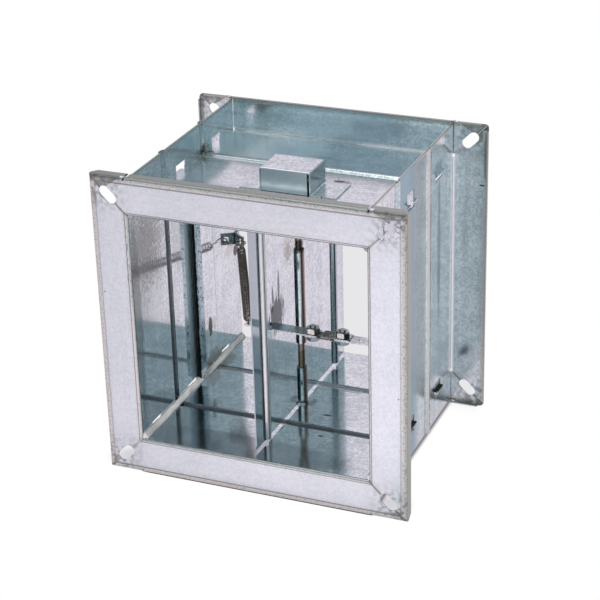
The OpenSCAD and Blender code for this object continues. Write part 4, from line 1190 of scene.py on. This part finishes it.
def plated_finish(look, head_top):
    """Zinc plated screw steel with a yellowish passive film above and darker slate grey heads."""
    material, w, shader, place = new_material("plated_screw")
    film = w.noise(place, 420.0, 3.0)
    coat = Coat(w, place, w.blend(w.ramp(film, 0.4, 0.6), (0.50, 0.57, 0.60), (0.50, 0.46, 0.38)), 0.2)
    height = w.node("ShaderNodeSeparateXYZ", {0: place}).outputs["Z"]
    coat.lay(w.ramp(height, head_top, head_top + 0.0005, 0.85, 0.0), (0.22, 0.32, 0.36), 0.15)
    wear = w.group(shared(worn_edges), width=0.0003)["Mask"]
    coat.lay(coat.product(wear, 0.5), look.worn, 0.25)
    w.feed(shader.inputs["Base Color"], coat.colour)
    w.feed(shader.inputs["Roughness"], coat.roughness)
    shader.inputs["Metallic"].default_value = 1.0
    bump(w, shader, film, 0.15, 0.0002)
    return material


class DAMPER_OT_cut_screws(Operator):
    """Cuts the two link screws, with hexagon heads below and threads that stand out of the nuts."""

    bl_idname = "damper.cut_screws"
    bl_label = "Cut the screws"

    def execute(self, context):
        shape = context.scene.damper_link
        plated = plated_finish(context.scene.damper_zinc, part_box("wall_screw")[0].z + shape.head_height)
        for node, body in (("wall_screw", CASING), ("blade_screw", SWINGING)):
            low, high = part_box(node)
            middle = ((low.x + high.x) / 2, (low.y + high.y) / 2)
            head_top = low.z + shape.head_height
            head = hex_head_grid(middle, low.z, head_top, shape.flats)
            shank = threaded_grid(middle, head_top, high.z, shape)
            mesh = joined_mesh(node + "_threaded", [(head, True), (shank, True)])
            add_piece(mesh, plated, body, smooth=False, replaced=[node])
        return {"FINISHED"}


def weld_grid(centre, reach):
    """A drop of weld: an ellipsoid whose radius wavers with the longitude and the latitude."""
    latitude = np.linspace(-math.pi / 2 + 0.05, math.pi / 2 - 0.05, 15)[:, None]
    longitude = np.linspace(0, 2 * math.pi, 24, endpoint=False)[None, :]
    waver = 1 + 0.10 * np.sin(3 * longitude + 2 * latitude) + 0.07 * np.sin(5 * longitude - 3 * latitude)
    shell = np.stack([np.cos(latitude) * np.cos(longitude), np.cos(latitude) * np.sin(longitude),
                      np.sin(latitude) + 0 * longitude], -1) * waver[..., None]
    return np.array(centre) + np.array(reach) * shell


class DAMPER_OT_drop_welds(Operator):
    """Drops the small welds that close the flanges' lip joints."""

    bl_idname = "damper.drop_welds"
    bl_label = "Drop the welds"

    def execute(self, context):
        look = context.scene.damper_zinc
        shape = context.scene.damper_weld
        welds = []
        for side in (-1, 1):
            for level in (-1, 1):
                sunk = 0.3 if level > 0 else 1.3
                height = MID_Z + level * (FLANGE_REACH - shape.reach[2] * sunk)
                for y in (FRONT_Y + 0.0022, REAR_Y - 0.0022):
                    centre = (side * (DUCT_HALF + 0.0035), y, height)
                    welds.append((weld_grid(centre, shape.reach), True))
        mesh = joined_mesh("lip_welds", welds)
        add_piece(mesh, zinc_finish("weld_metal", look, roughness=0.22, edges=0), CASING)
        return {"FINISHED"}


class DAMPER_OT_build_spring(Operator):
    """Builds the closing spring as one wire, hooks and coils."""

    bl_idname = "damper.build_spring"
    bl_label = "Build the spring"

    def execute(self, context):
        shape = context.scene.damper_spring
        path, aside = spring_path(shape)
        mesh = wire_mesh("closing_spring", path, aside, shape.wire / 2, 8)
        spring = add_piece(mesh, oiled_wire(shape), CASING, replaced=["extension_spring"])
        self.shorten_when_closed(spring, shape)
        return {"FINISHED"}

    def shorten_when_closed(self, spring, shape):
        """Gives the spring a mesh of its own."""
        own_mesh(spring)


class DAMPER_OT_set_stage(Operator):
    """Sets the camera, the white floor and the studio light."""

    bl_idname = "damper.set_stage"
    bl_label = "Set the stage"

    def execute(self, context):
        stage = context.scene.damper_stage
        self.place_camera(context, stage)
        self.lay_floor(stage)
        self.light_world(context, stage)
        self.hang_light(stage)
        context.scene.view_settings.view_transform = "Standard"
        return {"FINISHED"}

    def place_camera(self, context, stage):
        """Columns of the camera's turn are its right, its up and the way opposite to its view."""
        pitch, yaw, roll = stage.camera_pitch, stage.camera_yaw, stage.camera_roll
        view = Vector((math.sin(yaw) * math.cos(pitch), math.cos(yaw) * math.cos(pitch), math.sin(pitch)))
        level = Vector((math.cos(yaw), -math.sin(yaw), 0))
        upright = level.cross(view)
        right = math.cos(roll) * level + math.sin(roll) * upright
        up = math.cos(roll) * upright - math.sin(roll) * level
        lens = bpy.data.cameras.new("damper_camera")
        lens.lens = stage.lens
        lens.sensor_width = 36.0
        lens.clip_end = 50.0
        camera = bpy.data.objects.new("damper_camera", lens)
        turn = Matrix((right, up, -view)).transposed().to_4x4()
        camera.matrix_world = Matrix.Translation(stage.camera_place) @ turn
        context.scene.collection.objects.link(camera)
        context.scene.camera = camera

    def lay_floor(self, stage):
        """A square of two by two faces, white to the camera with a soft shade round the damper, and
        tinted to what mirrors it."""
        line = np.linspace(-stage.floor_size / 2, stage.floor_size / 2, 3)
        x, y = np.meshgrid(line, line)
        mesh = grid_mesh("pale_floor", np.stack([x, y, 0 * x], -1), around=False)
        material = bpy.data.materials.new("pale_floor")
        material.use_nodes = True
        w = Wiring(material.node_tree)
        place = w.node("ShaderNodeTexCoord").outputs["Object"]
        axes = w.node("ShaderNodeSeparateXYZ", {0: place}).outputs
        beside = w.math("SUBTRACT", w.math("ABSOLUTE", axes["X"]), DUCT_HALF)
        beyond = w.math("SUBTRACT", w.math("ABSOLUTE", axes["Y"]), REAR_Y)
        apart = w.math("MAXIMUM", beside, beyond)
        seen = w.node("ShaderNodeEmission",
                      {"Color": self.seen_floor(w, place, axes, apart), "Strength": 1.0})
        mirrored = w.node("ShaderNodeEmission",
                          {"Color": self.mirrored_floor(w, axes, apart, stage), "Strength": 1.0})
        camera_ray = w.node("ShaderNodeLightPath").outputs["Is Camera Ray"]
        mix = w.node("ShaderNodeMixShader", {0: camera_ray, 1: mirrored.outputs[0], 2: seen.outputs[0]})
        w.node("ShaderNodeOutputMaterial", {"Surface": mix.outputs[0]})
        mesh.materials.append(material)
        floor = bpy.data.objects.new("pale_floor", mesh)
        bpy.context.scene.collection.objects.link(floor)

    def seen_floor(self, w, place, axes, apart):
        """White, a little grey in the damper's painted shade, which runs back between two lines from its rear
        flange, with painted shadow spots beside the front flange's feet, a painted contact shadow along its
        walls and painted dark shade beneath it."""
        from_left = w.math("ADD", axes["X"], w.math("MULTIPLY", axes["Y"], 0.476))
        from_right = w.math("ADD", axes["X"], w.math("MULTIPLY", axes["Y"], 0.302))
        shade = w.math("MULTIPLY", w.ramp(from_left, -0.076, -0.056), w.ramp(from_right, 0.162, 0.149))
        behind = w.math("MULTIPLY", w.ramp(axes["Y"], 0.08, 0.12), w.ramp(axes["Y"], 0.78, 0.5))
        pale = w.blend(w.math("MULTIPLY", shade, behind), (1, 1, 1), (0.80, 0.79, 0.81))
        # Painted shadow spots beside the front flange's feet.
        for spot in ((0.108, -0.081, 0.0), (-0.124, -0.081, 0.0)):
            offset = w.vector("LENGTH", w.vector("SUBTRACT", place, spot))
            pale = w.blend(w.ramp(offset, 0.004, 0.024, 0.85, 0.0), pale, (0.60, 0.59, 0.63))
        # Painted contact shadow along the walls and painted dark shade beneath the damper.
        past_front = w.math("GREATER_THAN", axes["Y"], FRONT_Y + 0.001)
        near_wall = w.math("MULTIPLY", w.ramp(apart, 0.0045, 0.0), past_front)
        contact = w.blend(near_wall, pale, (0.20, 0.19, 0.22))
        under = w.math("MULTIPLY", w.ramp(apart, 0.0, -0.0015), past_front)
        return w.blend(under, contact, (0.004, 0.004, 0.004))

    def mirrored_floor(self, w, axes, apart, stage):
        """Studio light, weaker close to the damper and stronger in front of its right half."""
        close = w.ramp(apart, 0.0, 0.12, 0.86, 1.0)
        front = w.ramp(axes["Y"], FRONT_Y, FRONT_Y - 0.02)
        lift = w.math("MULTIPLY", w.ramp(axes["X"], -0.25, 0.04, 0.0, 0.26), w.ramp(axes["X"], 0.16, 0.08))
        lift = w.math("MULTIPLY", lift, front)
        level = w.math("MULTIPLY", close, w.math("ADD", lift, 1.0))
        beside = w.math("MULTIPLY", w.ramp(axes["X"], 0.095, 0.12), w.ramp(axes["Y"], 0.2, 0.1))
        tint = w.blend(beside, stage.studio_tint, stage.right_tint)
        return w.blend(1.0, tint, level, "MULTIPLY")

    def light_world(self, context, stage):
        """The studio in each direction: a pale backdrop behind the damper up to the left of the right
        wall's sight, dim walls elsewhere that darken upwards, and white for the camera."""
        world = bpy.data.worlds.new("studio")
        world.use_nodes = True
        w = Wiring(world.node_tree)
        axes = w.node("ShaderNodeSeparateXYZ", {0: w.node("ShaderNodeTexCoord").outputs["Generated"]}).outputs
        bearing = w.math("ARCTAN2", axes["X"], axes["Y"])
        left_end = w.ramp(bearing, math.radians(-28.5), math.radians(-26.0))
        right_end = w.ramp(bearing, math.radians(14), math.radians(8))
        top_end = w.ramp(axes["Z"], 0.8, 0.65)
        backdrop = w.math("MULTIPLY", w.math("MULTIPLY", left_end, right_end), top_end)
        low = w.blend(w.ramp(axes["Y"], -0.1, -0.4), stage.wall_tint, stage.front_tint)
        walls = w.blend(w.ramp(axes["Z"], 0.48, 0.75), low, stage.ceiling_tint)
        tint = w.blend(backdrop, walls, stage.studio_tint)
        camera_ray = w.node("ShaderNodeLightPath").outputs["Is Camera Ray"]
        sky = w.node("ShaderNodeBackground", {"Color": w.blend(camera_ray, tint, (1, 1, 1)), "Strength": 1.0})
        w.node("ShaderNodeOutputWorld", {"Surface": sky.outputs[0]})
        context.scene.world = world

    def hang_light(self, stage):
        """A square softbox overhead whose power gives its face the wanted brightness, and a fill in
        front that only matt surfaces see."""
        light = bpy.data.lights.new("overhead_softbox", "AREA")
        light.shape = "SQUARE"
        light.size = stage.softbox_size
        light.energy = stage.softbox_brightness * math.pi * stage.softbox_size ** 2
        lamp = bpy.data.objects.new("overhead_softbox", light)
        lamp.location = stage.softbox_place
        aim = Vector((0, 0, MID_Z)) - lamp.location
        lamp.rotation_euler = aim.to_track_quat("-Z", "Y").to_euler()
        bpy.context.scene.collection.objects.link(lamp)
        fill = bpy.data.lights.new("matt_fill", "AREA")
        fill.size = 0.8
        fill.energy = stage.fill_power
        filler = bpy.data.objects.new("matt_fill", fill)
        filler.location = (0.35, -1.5, 0.75)
        filler.rotation_euler = (Vector((0, 0, MID_Z)) - filler.location).to_track_quat("-Z", "Y").to_euler()
        filler.visible_glossy = False
        bpy.context.scene.collection.objects.link(filler)


class DAMPER_PT_looks(Panel):
    """Lists the steps that dress the damper."""

    bl_label = "Damper looks"
    bl_idname = "DAMPER_PT_looks"
    bl_space_type = "VIEW_3D"
    bl_region_type = "UI"
    bl_category = "Damper"

    def draw(self, context):
        for settings in SETTINGS:
            group = getattr(context.scene, settings)
            column = self.layout.column()
            for name in group.__annotations__:
                column.prop(group, name)
        for step in STEPS:
            self.layout.operator(step.bl_idname)


SETTINGS = {"damper_zinc": DamperZincLook, "damper_spring": DamperSpringShape,
            "damper_sealant": DamperSealantShape, "damper_link": DamperLinkShape,
            "damper_weld": DamperWeldShape, "damper_stage": DamperStageSettings}
STEPS = (DAMPER_OT_set_stage, DAMPER_OT_finish_casing, DAMPER_OT_finish_blade, DAMPER_OT_finish_link,
         DAMPER_OT_lay_sealant, DAMPER_OT_run_solder, DAMPER_OT_cut_screws, DAMPER_OT_drop_welds,
         DAMPER_OT_build_spring)


def register():
    for cls in (*SETTINGS.values(), *STEPS, DAMPER_PT_looks):
        bpy.utils.register_class(cls)
    for name, group in SETTINGS.items():
        setattr(bpy.types.Scene, name, PointerProperty(type=group))


def unregister():
    for name in SETTINGS:
        delattr(bpy.types.Scene, name)
    for cls in reversed((*SETTINGS.values(), *STEPS, DAMPER_PT_looks)):
        bpy.utils.unregister_class(cls)


def main():
    register()
    bpy.ops.damper.set_stage()
    bpy.ops.damper.finish_casing()
    bpy.ops.damper.finish_blade()
    bpy.ops.damper.finish_link()
    bpy.ops.damper.lay_sealant()
    bpy.ops.damper.run_solder()
    bpy.ops.damper.cut_screws()
    bpy.ops.damper.drop_welds()
    bpy.ops.damper.build_spring()


if __name__ == "__main__":
    main()
